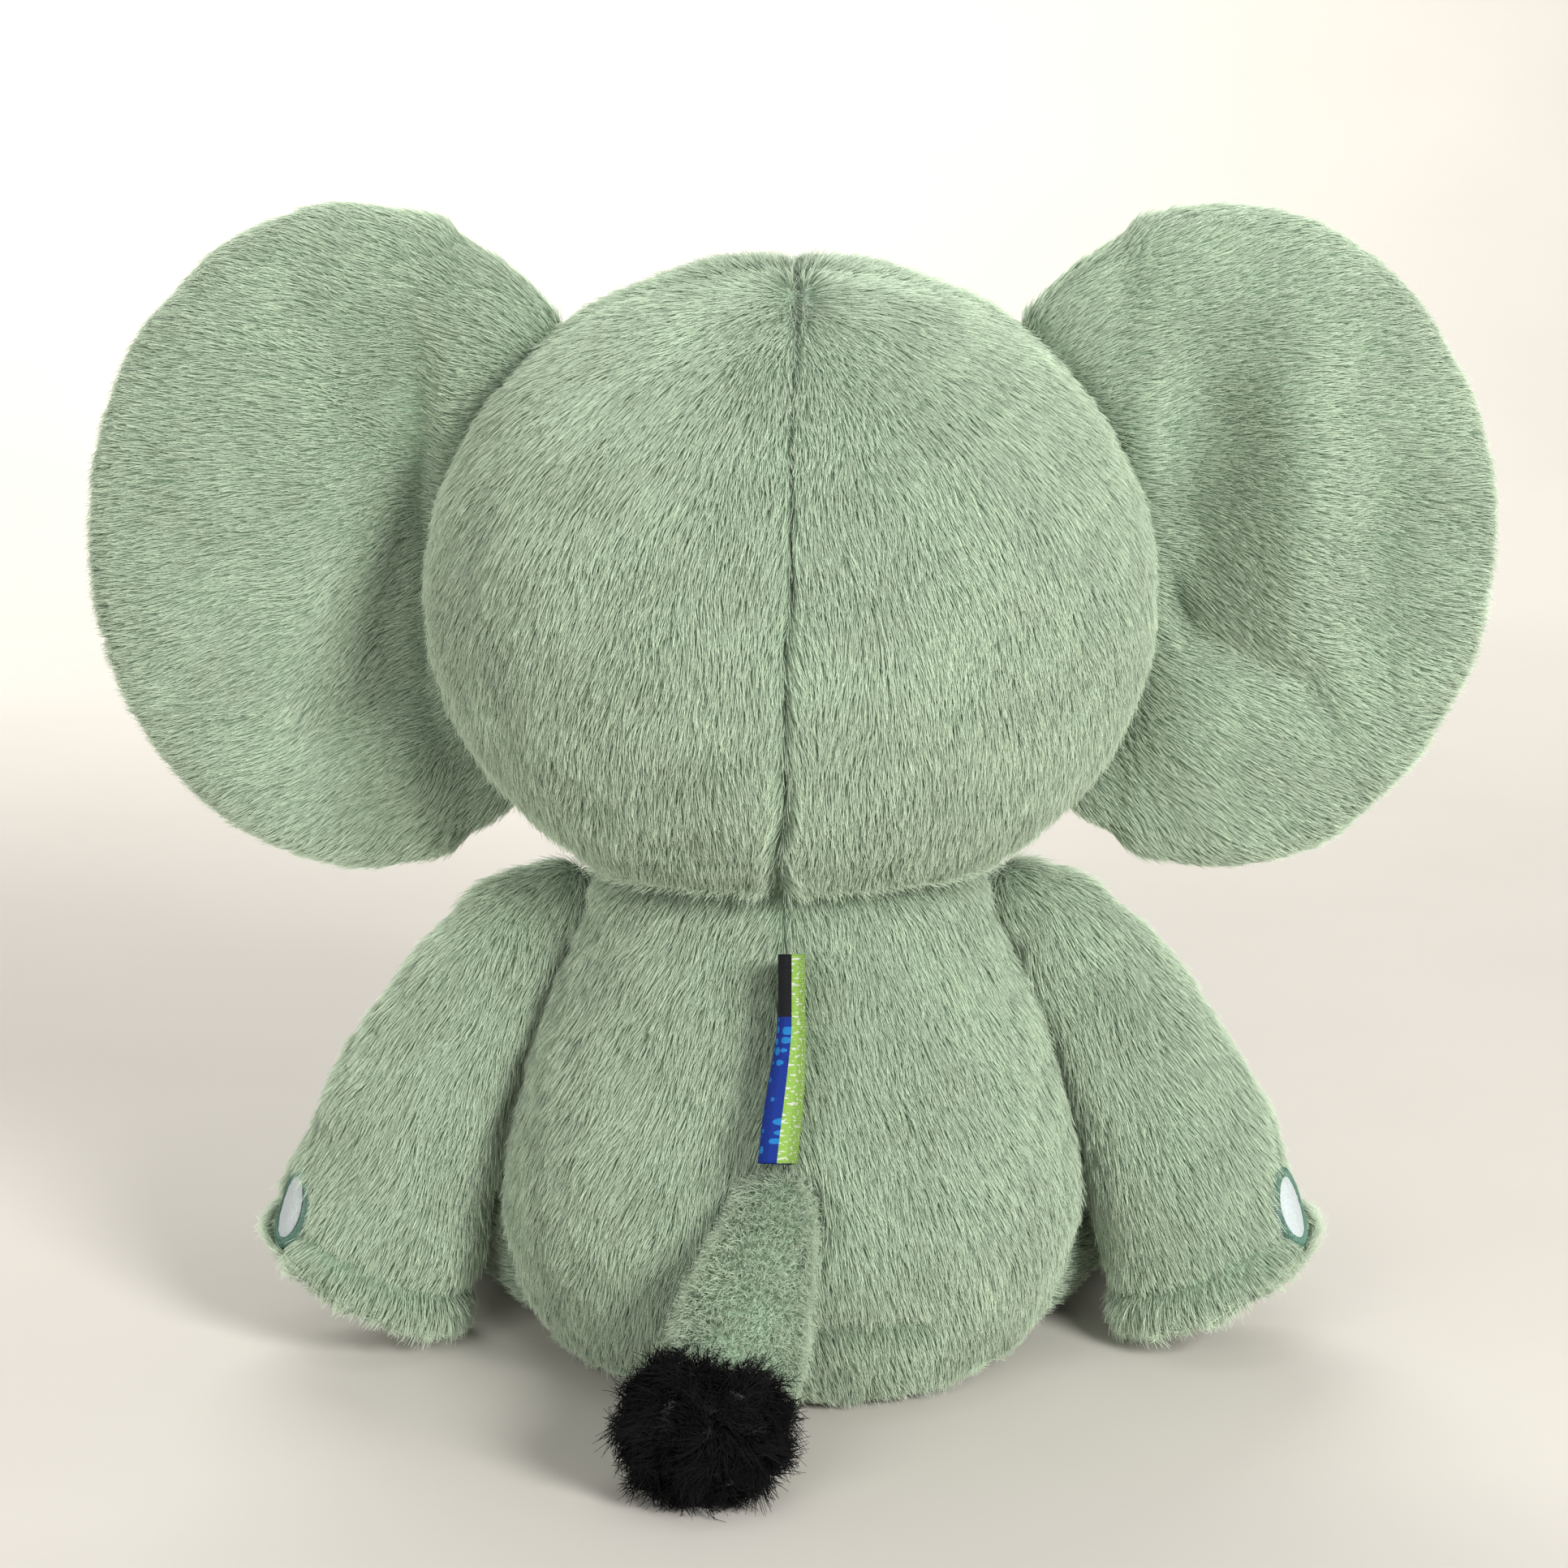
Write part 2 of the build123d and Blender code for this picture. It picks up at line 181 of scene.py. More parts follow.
def read_points(obj):
    """The mesh's points, in mm, and its vertex normals."""
    return read_rows(obj.data.vertices, "co") / MM, read_rows(obj.data.vertex_normals, "vector")


def write_points(obj, points):
    """Moves the mesh's points to these places, in mm."""
    obj.data.vertices.foreach_set("co", (points * MM).astype(np.float32).ravel())
    obj.data.update()


def raise_skin(obj, points, normals, out):
    """Moves each point out along its normal, by its own number of mm."""
    write_points(obj, points + normals * out[:, None])


def keep_above(points, height):
    """Lifts the points that are lower than this many mm over the table."""
    points[:, 2] = np.maximum(points[:, 2], height)


def relax(obj, rounds):
    """Evens out a mesh by moving each point halfway to its neighbours' mean."""
    points, _ = read_points(obj)
    edges = np.zeros(len(obj.data.edges) * 2, np.int64)
    obj.data.edges.foreach_get("vertices", edges)
    a, b = edges.reshape(-1, 2).T
    degree = np.bincount(a, minlength=len(points)) + np.bincount(b, minlength=len(points))
    for _ in range(rounds):
        total = np.zeros_like(points)
        for axis in range(3):
            total[:, axis] = np.bincount(a, points[b, axis], len(points))
            total[:, axis] += np.bincount(b, points[a, axis], len(points))
        points += 0.5 * (total / degree[:, None] - points)
    write_points(obj, points)


def stuff(obj, held, reach):
    """Blows a skin out between the seams that hold it, as packed filling does, by a cloth simulation.

    held marks the points that a seam or a joint holds, and reach caps how far a point moves, in mm.
    """
    scene = bpy.context.scene
    before, _ = read_points(obj)
    group = obj.vertex_groups.new(name="held")
    group.add(np.flatnonzero(held).tolist(), 1.0, "REPLACE")
    cloth = obj.modifiers.new("filling", "CLOTH")
    cloth.settings.use_pressure = True
    cloth.settings.uniform_pressure_force = 4.0
    cloth.settings.vertex_group_mass = "held"
    cloth.settings.shrink_min = -SWELL
    cloth.settings.effector_weights.gravity = 0.0
    cloth.point_cache.frame_end = CLOTH_FRAMES
    for step in range(CLOTH_FRAMES):
        scene.frame_set(step + 1)
    blown = obj.evaluated_get(bpy.context.evaluated_depsgraph_get())
    move = read_rows(blown.data.vertices, "co") / MM - before
    obj.modifiers.remove(cloth)
    obj.vertex_groups.clear()
    scene.frame_set(1)
    size = np.maximum(np.linalg.norm(move, axis=1), 1e-9)
    write_points(obj, before + move * np.minimum(1, reach / size)[:, None])


def smooth_faces(obj):
    obj.data.polygons.foreach_set("use_smooth", [True] * len(obj.data.polygons))
    obj.data.update()


def finish_piece(obj, body, slot, material, *nodes):
    """A finished piece rides its body and stands for these CAD nodes."""
    if not obj.data.materials:
        obj.data.materials.append(material)
    smooth_faces(obj)
    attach(obj, body)
    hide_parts(*nodes)


def subdivide(obj):
    """Splits every face in four and smooths the result."""
    obj.modifiers.new("finer", "SUBSURF").levels = 1
    return apply_modifiers(obj)


def store(obj, name, values):
    """Stores one number or one vector for each vertex."""
    kind, field = ("FLOAT", "value") if values.ndim == 1 else ("FLOAT_VECTOR", "vector")
    attribute = obj.data.attributes.new(name, kind, "POINT")
    attribute.data.foreach_set(field, values.astype(np.float32).ravel())


# ---- node trees
class Tree:
    """A node tree, built one node at a time."""

    def node(self, kind, inputs=None, **settings):
        made = self.tree.nodes.new(kind)
        for key, value in settings.items():
            setattr(made, key, value)
        for key, value in (inputs or {}).items():
            self.feed(made.inputs[key], value)
        return made

    def feed(self, socket, value):
        if isinstance(value, bpy.types.NodeSocket):
            self.tree.links.new(value, socket)
        elif socket.type == "RGBA" and len(value) == 3:
            socket.default_value = (*value, 1)
        else:
            socket.default_value = value

    def math(self, operation, *values):
        return self.node("ShaderNodeMath", dict(enumerate(values)), operation=operation).outputs[0]


# ---- materials
class Shader(Tree):
    """A material's node tree."""

    def __init__(self, name):
        self.material = bpy.data.materials.new(name)
        self.material.use_nodes = True
        self.tree = self.material.node_tree
        self.tree.nodes.clear()
        self.output = self.node("ShaderNodeOutputMaterial")

    def mix(self, factor, first, second):
        made = self.node("ShaderNodeMix", data_type="RGBA")
        self.feed(made.inputs["Factor"], factor)
        self.feed(made.inputs[6], first)
        self.feed(made.inputs[7], second)
        return made.outputs[2]

    def fit(self, value, low, high, new_low=0.0, new_high=1.0):
        limits = {"From Min": low, "From Max": high, "To Min": new_low, "To Max": new_high}
        return self.node("ShaderNodeMapRange", {"Value": value, **limits}).outputs["Result"]

    def noise(self, scale, detail=2.0, vector=None, roughness=0.5):
        inputs = {"Scale": scale, "Detail": detail, "Roughness": roughness}
        inputs["Vector"] = vector or self.place()
        return self.node("ShaderNodeTexNoise", inputs).outputs["Fac"]

    def wave(self, scale, vector=None, **settings):
        inputs = {"Scale": scale, "Vector": vector or self.place()}
        return self.node("ShaderNodeTexWave", inputs, **settings).outputs["Fac"]

    def cells(self, scale, vector=None, randomness=1.0):
        inputs = {"Scale": scale, "Vector": vector or self.place(), "Randomness": randomness}
        return self.node("ShaderNodeTexVoronoi", inputs).outputs["Distance"]

    def attribute(self, name):
        return self.node("ShaderNodeAttribute", attribute_name=name).outputs["Fac"]

    def place(self):
        return self.node("ShaderNodeTexCoord").outputs["Object"]

    def bump(self, height, depth):
        inputs = {"Height": height, "Distance": depth, "Strength": 1.0}
        return self.node("ShaderNodeBump", inputs).outputs["Normal"]

    def finish(self, surface):
        self.tree.links.new(surface, self.output.inputs["Surface"])
        return self.material

    def principled(self, **inputs):
        names = {key.replace("_", " "): value for key, value in inputs.items()}
        return self.finish(self.node("ShaderNodeBsdfPrincipled", names).outputs["BSDF"])


def srgb(red, green, blue):
    """An 8-bit display colour as linear light."""
    return tuple(
        value / 12.92 if value <= 0.04045 else ((value + 0.055) / 1.055) ** 2.4
        for value in (red / 255, green / 255, blue / 255)
    )


# SAGE is the plush's own colour. The root colour is painted shade for deep in the pile.
SAGE = srgb(160, 182, 154)
SAGE_TIP = srgb(216, 230, 207)
SAGE_ROOT_SHADE = srgb(110, 136, 107)
# The seam colour is painted shade for the grooves of the seam lines.
SEAM_SHADE = srgb(58, 74, 56)


def darker(colour, level):
    return tuple(level * channel for channel in colour)


def pile_foot(name, colour, deep_shade):
    """The dense foot of a pile: fine streaky fibre seen between the strands, its own colour mixed with a
    darker colour that is painted shade of the pile's depths.
    """
    s = Shader(name)
    streak = s.noise(900.0, 3.0)
    patch = s.noise(60.0, 2.0)
    # The darker colour is painted shade of the pile's depths.
    shade = s.mix(s.fit(streak, 0.3, 0.7), deep_shade, colour)
    shade = s.mix(s.fit(patch, 0.35, 0.65, 0.0, 0.25), shade, deep_shade)
    # Painted shade along the stored seam lines.
    shade = s.mix(s.attribute("seam"), shade, SEAM_SHADE)
    return s.principled(
        Base_Color=shade,
        Roughness=0.95,
        Normal=s.bump(streak, 0.0006),
        Sheen_Weight=0.35,
        Sheen_Roughness=0.5,
    )


def pile_strand(name, root, tip, spread=0.10, gloss=0.04):
    """A single fibre: darker at its foot, as painted shade deep in the pile, lighter at its tip, each a
    little different.
    """
    s = Shader(name)
    hair = s.node("ShaderNodeHairInfo")
    along = s.fit(hair.outputs["Intercept"], 0.05, 0.85)
    # Root to tip: the root colour is painted shade deep in the pile.
    colour = s.mix(along, root, tip)
    patch = s.fit(s.noise(45.0, 2.0), 0.35, 0.65, 0.94, 1.05)
    own = s.fit(hair.outputs["Random"], 0.0, 1.0, 1 - spread, 1 + spread)
    level = s.math("MULTIPLY", patch, own)
    scaled = s.node("ShaderNodeVectorMath", {0: colour}, operation="SCALE")
    s.feed(scaled.inputs["Scale"], level)
    colour = scaled.outputs[0]
    body = s.node("ShaderNodeBsdfDiffuse", {"Color": colour, "Roughness": 0.8}).outputs[0]
    through = s.node("ShaderNodeBsdfTranslucent", {"Color": colour}).outputs[0]
    shine = s.node("ShaderNodeBsdfHair", {"Color": (1, 1, 1), "RoughnessU": 0.4, "RoughnessV": 0.7})
    fibre = s.node("ShaderNodeMixShader", {0: 0.25, 1: body, 2: through}).outputs[0]
    return s.finish(s.node("ShaderNodeMixShader", {0: gloss, 1: fibre, 2: shine.outputs[0]}).outputs[0])


def velour(name, colour):
    """Short smooth velour, brushed one way."""
    s = Shader(name)
    nap = s.noise(1500.0, 2.0)
    patch = s.noise(40.0, 3.0)
    shade = s.mix(s.fit(patch, 0.3, 0.7, 0.0, 0.3), colour, darker(colour, 0.8))
    shade = s.mix(s.fit(nap, 0.35, 0.65, 0.0, 0.25), shade, darker(colour, 0.65))
    return s.principled(
        Base_Color=shade,
        Roughness=0.9,
        Normal=s.bump(nap, 0.0003),
        Sheen_Weight=0.6,
        Sheen_Roughness=0.35,
    )


def fibre_mat(name, colour, scale, depth):
    """Matted fibre such as felt or wadding."""
    s = Shader(name)
    web = s.noise(scale, 6.0, roughness=0.7)
    shade = s.mix(s.fit(web, 0.35, 0.65), darker(colour, 0.78), colour)
    return s.principled(Base_Color=shade, Roughness=0.9, Normal=s.bump(web, depth), Sheen_Weight=0.2)


def twisted_thread(name, colour):
    """Rayon thread with a fine twist and a soft shine."""
    s = Shader(name)
    wave = s.node("ShaderNodeTexWave", {"Scale": 900.0, "Distortion": 2.0, "Vector": s.place()})
    twist = wave.outputs["Fac"]
    shade = s.mix(s.fit(twist, 0.2, 0.8), darker(colour, 0.6), colour)
    return s.principled(Base_Color=shade, Roughness=0.45, Normal=s.bump(twist, 0.0002))


def woven_cotton(name, colour):
    """Plain weave of the pellet bag."""
    s = Shader(name)
    weave = s.math("MAXIMUM", s.wave(500.0, bands_direction="X"), s.wave(500.0, bands_direction="Z"))
    shade = s.mix(weave, darker(colour, 0.7), colour)
    return s.principled(Base_Color=shade, Roughness=0.9, Normal=s.bump(weave, 0.0002))


def moulded(name, colour, roughness, coat=0.0):
    """Moulded plastic with faint handling marks."""
    s = Shader(name)
    haze = s.noise(120.0, 4.0)
    rough = s.fit(haze, 0.3, 0.7, roughness * 0.8, roughness * 1.3)
    grain = s.noise(2500.0, 2.0)
    return s.principled(
        Base_Color=s.mix(s.fit(haze, 0.3, 0.7, 0.0, 0.15), colour, darker(colour, 0.8)),
        Roughness=rough,
        Normal=s.bump(grain, 0.00003),
        Coat_Weight=coat,
        Coat_Roughness=0.04,
    )


def pellet_mat(name, colour):
    """Small round pellets packed together, darkened towards the gaps between them as painted shade."""
    s = Shader(name)
    depth = s.cells(330.0)
    # Painted shade: darker away from each pellet's middle, in the gaps between pellets.
    shade = s.mix(s.fit(depth, 0.1, 0.6), colour, darker(colour, 0.45))
    round_top = s.bump(s.math("MULTIPLY", depth, -1.0), 0.002)
    return s.principled(Base_Color=shade, Roughness=0.4, Normal=round_top)


def ribbon_mat(name):
    """Woven ribbon, folded: blue with pale spots and a black end, then lime with white picks."""
    s = Shader(name)
    across, up = s.attribute("across"), s.attribute("up")
    in_mm = {"X": s.math("MULTIPLY", across, 36.0), "Y": s.math("MULTIPLY", up, 50.0)}
    grid = s.node("ShaderNodeCombineXYZ", in_mm).outputs[0]
    spot = s.math("LESS_THAN", s.cells(0.42, grid, 0.7), 0.42)
    blue = s.mix(spot, srgb(6, 50, 150), srgb(30, 136, 212))
    blue = s.mix(s.math("GREATER_THAN", up, 0.70), blue, srgb(14, 16, 20))
    picks = s.noise(1.3, 1.0, grid)
    near_fold = s.math("LESS_THAN", across, 0.62)
    pick = s.math("MULTIPLY", s.math("GREATER_THAN", picks, 0.60), near_fold)
    lime = s.mix(pick, srgb(160, 205, 92), srgb(232, 240, 220))
    colour = s.mix(s.math("GREATER_THAN", across, 0.5), blue, lime)
    warp = s.wave(3.2, grid, bands_direction="X")
    weft = s.wave(1.1, grid, bands_direction="Y")
    weave = s.math("MULTIPLY", warp, weft)
    colour = s.mix(s.fit(weave, 0.0, 1.0, 0.22, 0.0), colour, (0.01, 0.01, 0.012))
    bumps = s.bump(weave, 0.0002)
    return s.principled(Base_Color=colour, Roughness=0.5, Normal=bumps, Specular_IOR_Level=0.3)


# The darker foot colours and the strands' root colours below are painted shade deep in the pile.
PLUSH_FOOT = pile_foot("plush_foot", SAGE, SAGE_ROOT_SHADE)
PLUSH_STRAND = pile_strand("plush_strand", SAGE_ROOT_SHADE, SAGE_TIP)
TAIL_STRAND = pile_strand("tail_strand", srgb(84, 110, 82), srgb(204, 219, 194))
TUFT_FOOT = pile_foot("tuft_foot", srgb(14, 14, 15), srgb(4, 4, 4))
TUFT_STRAND = pile_strand("tuft_strand", srgb(5, 5, 5), srgb(14, 14, 15), gloss=0.01)
VELOUR = velour("ear_velour", srgb(196, 202, 186))
FELT = fibre_mat("nail_felt", srgb(208, 218, 218), 1400.0, 0.0003)
NAIL_THREAD = twisted_thread("nail_thread", srgb(122, 168, 148))
SEAM_THREAD = twisted_thread("seam_thread", srgb(104, 122, 98))
FIBRE = fibre_mat("fibre_fill", srgb(238, 238, 234), 260.0, 0.004)
COTTON = woven_cotton("pouch_cotton", srgb(226, 220, 205))
PELLETS = pellet_mat("pellets", srgb(220, 222, 226))
EYE = moulded("eye_plastic", srgb(16, 14, 14), 0.12, 1.0)
WASHER = moulded("washer_plastic", srgb(232, 232, 226), 0.45)
RIBBON = ribbon_mat("woven_ribbon")


# ---- pile
class Nodes(Tree):
    """A geometry node tree."""

    def __init__(self, name):
        self.tree = bpy.data.node_groups.new(name, "GeometryNodeTree")
        for way in ("INPUT", "OUTPUT"):
            self.tree.interface.new_socket("Geometry", in_out=way, socket_type="NodeSocketGeometry")
        self.end = self.tree.nodes.new("NodeGroupOutput").inputs[0]

    def vector(self, operation, *values):
        return self.node("ShaderNodeVectorMath", dict(enumerate(values)), operation=operation).outputs[0]

    def scale(self, vector, factor):
        inputs = {0: vector, "Scale": factor}
        return self.node("ShaderNodeVectorMath", inputs, operation="SCALE").outputs[0]

    def named(self, name, kind="FLOAT"):
        return self.node("GeometryNodeInputNamedAttribute", {"Name": name}, data_type=kind).outputs[0]

    def keep(self, geometry, name, value, kind="FLOAT_VECTOR"):
        inputs = {"Geometry": geometry, "Name": name, "Value": value}
        settings = {"data_type": kind, "domain": "POINT"}
        return self.node("GeometryNodeStoreNamedAttribute", inputs, **settings).outputs[0]

    def dot(self, first, second):
        made = self.node("ShaderNodeVectorMath", {0: first, 1: second}, operation="DOT_PRODUCT")
        return made.outputs["Value"]

    def random(self, low, high, seed, kind="FLOAT"):
        made = self.node("FunctionNodeRandomValue", data_type=kind)
        sockets = [socket for socket in made.inputs if socket.enabled]
        self.feed(sockets[0], low)
        self.feed(sockets[1], high)
        self.feed(made.inputs["Seed"], seed)
        return [socket for socket in made.outputs if socket.enabled][0]


def scatter_feet(g, mesh, density, guide, seed):
    """Points over a mesh that know their normal, place, nearest guide and own small chances."""
    spread = g.node("GeometryNodeDistributePointsOnFaces", {"Mesh": mesh, "Seed": seed})
    g.feed(spread.inputs["Density"], g.math("MULTIPLY", g.named("pile"), density / MM**2))
    rows = {"Mesh": mesh, "Density": guide / MM**2, "Seed": seed + 7}
    guides = g.node("GeometryNodeDistributePointsOnFaces", rows).outputs["Points"]
    here = g.node("GeometryNodeInputPosition").outputs[0]
    near = g.node("GeometryNodeSampleNearest", {"Geometry": guides, "Sample Position": here})
    there = g.node("GeometryNodeSampleIndex", {"Geometry": guides}, data_type="FLOAT_VECTOR")
    g.feed(there.inputs["Value"], here)
    g.feed(there.inputs["Index"], near.outputs[0])
    points = g.keep(spread.outputs["Points"], "strand_up", spread.outputs["Normal"])
    points = g.keep(points, "strand_foot", here)
    points = g.keep(points, "strand_pull", g.vector("SUBTRACT", there.outputs[0], here))
    points = g.keep(points, "strand_stray", g.random((-1, -1, -1), (1, 1, 1), seed + 1, "FLOAT_VECTOR"))
    return g.keep(points, "strand_size", g.random(0.72, 1.15, seed + 2), "FLOAT")


def strand_place(g, f, length, lift, clump, stray):
    """Where a strand is at f of its length: up along the normal at first, then over along the combing."""
    up = g.named("strand_up", "FLOAT_VECTOR")
    comb = g.named("comb", "FLOAT_VECTOR")
    flat = g.vector("SUBTRACT", comb, g.scale(up, g.dot(comb, up)))
    bend = g.math("MULTIPLY", f, f)
    rise = g.math("SUBTRACT", g.math("MULTIPLY", f, lift), g.math("MULTIPLY", bend, lift * 0.45))
    run = g.math("ADD", g.math("MULTIPLY", f, 0.35), g.math("MULTIPLY", bend, 0.65))
    run = g.math("MULTIPLY", run, math.sqrt(max(1 - lift**2 * 0.3, 0.05)))
    wander = g.scale(g.named("strand_stray", "FLOAT_VECTOR"), g.math("MULTIPLY", bend, stray))
    path = g.vector("ADD", g.vector("ADD", g.scale(up, rise), g.scale(flat, run)), wander)
    size = g.math("MULTIPLY", g.named("strand_size"), length * MM)
    size = g.math("MULTIPLY", size, g.math("POWER", g.named("pile"), 0.5))
    lean = g.scale(g.named("strand_pull", "FLOAT_VECTOR"), g.math("MULTIPLY", bend, clump))
    foot = g.named("strand_foot", "FLOAT_VECTOR")
    return g.vector("ADD", g.vector("ADD", foot, g.scale(path, size)), lean)


def kept_above(g, place, floor):
    """The place, lifted where it would be less than this many mm above the table."""
    parts = g.node("ShaderNodeSeparateXYZ", {0: place}).outputs
    height = g.math("MAXIMUM", parts[2], floor * MM)
    return g.node("ShaderNodeCombineXYZ", {0: parts[0], 1: parts[1], 2: height}).outputs[0]


def pile_tree(obj, strand, seed, floor, density, guide, radius, **shape):
    """Strands over a skin, as geometry nodes.

    density and guide are strands per square mm, radius and length are in mm. lift is how steeply a
    strand rises, clump how far its tip leans to the nearest guide strand, stray how much it wanders.
    """
    g = Nodes(obj.name + "_pile")
    skin = g.node("GeometryNodeObjectInfo", {"Object": obj}, transform_space="RELATIVE")
    points = scatter_feet(g, skin.outputs["Geometry"], density, guide, seed)
    line = g.node("GeometryNodeCurvePrimitiveLine", {"Start": (0, 0, 0), "End": (0, 0, MM)})
    line = g.node("GeometryNodeResampleCurve", {"Curve": line.outputs[0], "Count": 5}).outputs[0]
    strands = g.node("GeometryNodeInstanceOnPoints", {"Points": points, "Instance": line}).outputs[0]
    strands = g.node("GeometryNodeRealizeInstances", {"Geometry": strands}).outputs[0]
    f = g.node("GeometryNodeSplineParameter").outputs["Factor"]
    place = strand_place(g, f, **shape)
    if floor is not None:
        place = kept_above(g, place, floor)
    strands = g.node("GeometryNodeSetPosition", {"Geometry": strands, "Position": place}).outputs[0]
    taper = g.math("MULTIPLY", g.math("SUBTRACT", 1.1, g.math("MULTIPLY", f, 0.75)), radius * MM)
    strands = g.node("GeometryNodeSetCurveRadius", {"Curve": strands, "Radius": taper}).outputs[0]
    strands = g.node("GeometryNodeSetMaterial", {"Geometry": strands, "Material": strand}).outputs[0]
    g.tree.links.new(strands, g.end)
    return g.tree


PLUSH = {
    "density": 2.6,
    "guide": 0.20,
    "radius": 0.075,
    "length": 6.0,
    "lift": 0.50,
    "clump": 0.28,
    "stray": 0.16,
}


def grow_pile(obj, comb, pile, seed, strand=PLUSH_STRAND, floor=None, **changes):
    """Gives a skin its combing and pile length, and hangs the strands that follow them on it."""
    store(obj, "comb", comb)
    store(obj, "pile", pile)
    name = obj.name + "_strands"
    strands = new_object(name, bpy.data.hair_curves.new(name))
    strands.parent = obj
    modifier = strands.modifiers.new("pile", "NODES")
    modifier.node_group = pile_tree(obj, strand, seed, floor, **{**PLUSH, **changes})


# ---- shared by the plush pieces
def seam_groove(offset, depth, width):
    """How far a seam pulls the skin in, for distances from the seam."""
    return -depth * (0.7 * ridge(offset, width) + 0.3 * ridge(offset, width * 3.5))


def laid_flat(direction, normals):
    """Directions pressed flat onto the skin and scaled to length one."""
    return unit(direction - normals * np.sum(direction * normals, 1)[:, None])


def ruffled(comb, points, size, seed, amount=0.14):
    """The combed direction with small wanders, features of this size in mm."""
    return comb + amount * np.stack([lumps(points, size, seed + axis) for axis in range(3)], 1)


def tufted(points, comb, seed, height=0.28):
    """Small tufts drawn out along the combed direction."""
    rng = np.random.default_rng(seed)
    total = np.zeros(len(points))
    for _ in range(6):
        across = unit(rng.normal(size=3))
        steer = across - comb * (comb @ across)[:, None] * 0.75
        pitch = 2 * math.pi / rng.uniform(4.0, 6.5)
        total += np.sin(np.sum(points * steer, 1) * pitch + rng.uniform(0, 6.3))
    return height * total / 3


# ---- head
def crown_offset(points):
    """Distance from the crown seam, which runs over the head from ear to ear."""
    tilt = math.radians(18)
    rise = points[:, 2] - pivot("ear_left_flap")[2]
    return (points[:, 1] - EAR_Y) * math.cos(tilt) - rise * math.sin(tilt)


def stuffed_head(nodes):
    """The head's skin, stuffed out from the neck, the trunk's root and the two seams."""
    obj = skin_of("head_plush", nodes + ["head_stuffing"], VOXEL)
    points, _ = read_points(obj)
    in_neck = distance(points, NECK) < NECK_REACH + 5
    at_trunk = distance(points, pivot("trunk_lift")) < 27
    at_middle = (np.abs(points[:, 0]) < 2) & (points[:, 2] > 155)
    at_crown = (np.abs(crown_offset(points)) < 2) & (points[:, 2] > 190)
    stuff(obj, in_neck | at_trunk | at_middle | at_crown, 1.6)
    relax(obj, 4)
    return subdivide(obj)


def make_head():
    nodes = ["head_back_left", "head_back_right", "face_left", "face_right"]
    obj = stuffed_head(nodes)
    points, normals = read_points(obj)
    x, y, z = points.T
    skin = ramp(distance(points, NECK), NECK_REACH, NECK_REACH + 5.5)
    out = (PROUD + 0.8 * lumps(points, 60, 3) + 0.3 * lumps(points, 17, 4)) * skin
    wander = 0.6 * np.sin(z / 9.0) + 0.3 * np.sin(z / 3.7)
    seam = x - (wander + 0.03 * (230 - z)) * (y > 0)
    stitches = 1 + 0.3 * np.sin(z / 2.3)
    out += seam_groove(seam, 1.8, 0.9) * skin * stitches * ramp(z, 112, 150)
    crown = crown_offset(points)
    out += seam_groove(crown, 1.6, 1.2) * ramp(z, 225, 240)
    pucker = ridge(x - 5 + 0.5 * (z - 128), 2.2) * ridge(z - 129, 5) * (y > 0)
    raise_skin(obj, points, normals, out - 0.5 * pucker)

    points, normals = read_points(obj)
    comb = points - np.array([0, 34, 284])
    parting = ridge(seam, 3.5) * (points[:, 1] > -20) * ramp(z, 125, 150)
    comb[:, 0] += 11 * np.sign(seam) * parting
    comb = laid_flat(comb, normals)
    raise_skin(obj, points, normals, tufted(points, comb, 5) * skin)
    # The seam lines, darkened in the foot's colour as painted shade of their grooves.
    line = np.maximum(ridge(seam, 0.8) * ramp(z, 118, 135), 0.7 * ridge(crown, 0.8) * ramp(z, 225, 240))
    store(obj, "seam", line)
    pile = ramp(distance(points, NECK), NECK_REACH - 0.5, NECK_REACH + 2.5) * (1 - 0.9 * line)
    for half, _ in SIDES:
        eye = np.mean(node_box(f"eye_{half}"), 0)
        pile *= ramp(distance(points, eye), 8.5, 14)
    pile *= ramp(distance(points, pivot("trunk_lift")), 16, 21)
    grow_pile(obj, ruffled(comb, points, 22, 11), pile, seed=21)
    finish_piece(obj, "head", "plush", PLUSH_FOOT, *nodes)


# ---- torso
def stuffed_torso(nodes):
    """The torso's skin, stuffed out from its neck, its base, the back seam and the limbs' roots."""
    obj = skin_of("torso_plush", nodes + ["torso_stuffing"], VOXEL)
    points, _ = read_points(obj)
    x, y, z = points.T
    held = (z > 112) | (z < 4) | ((np.abs(x) < 2) & (y > 0))
    for joint, reach in TORSO_SOCKETS:
        held |= distance(points, pivot(joint)) < reach
    stuff(obj, held, 2.0)
    relax(obj, 4)
    return subdivide(obj)


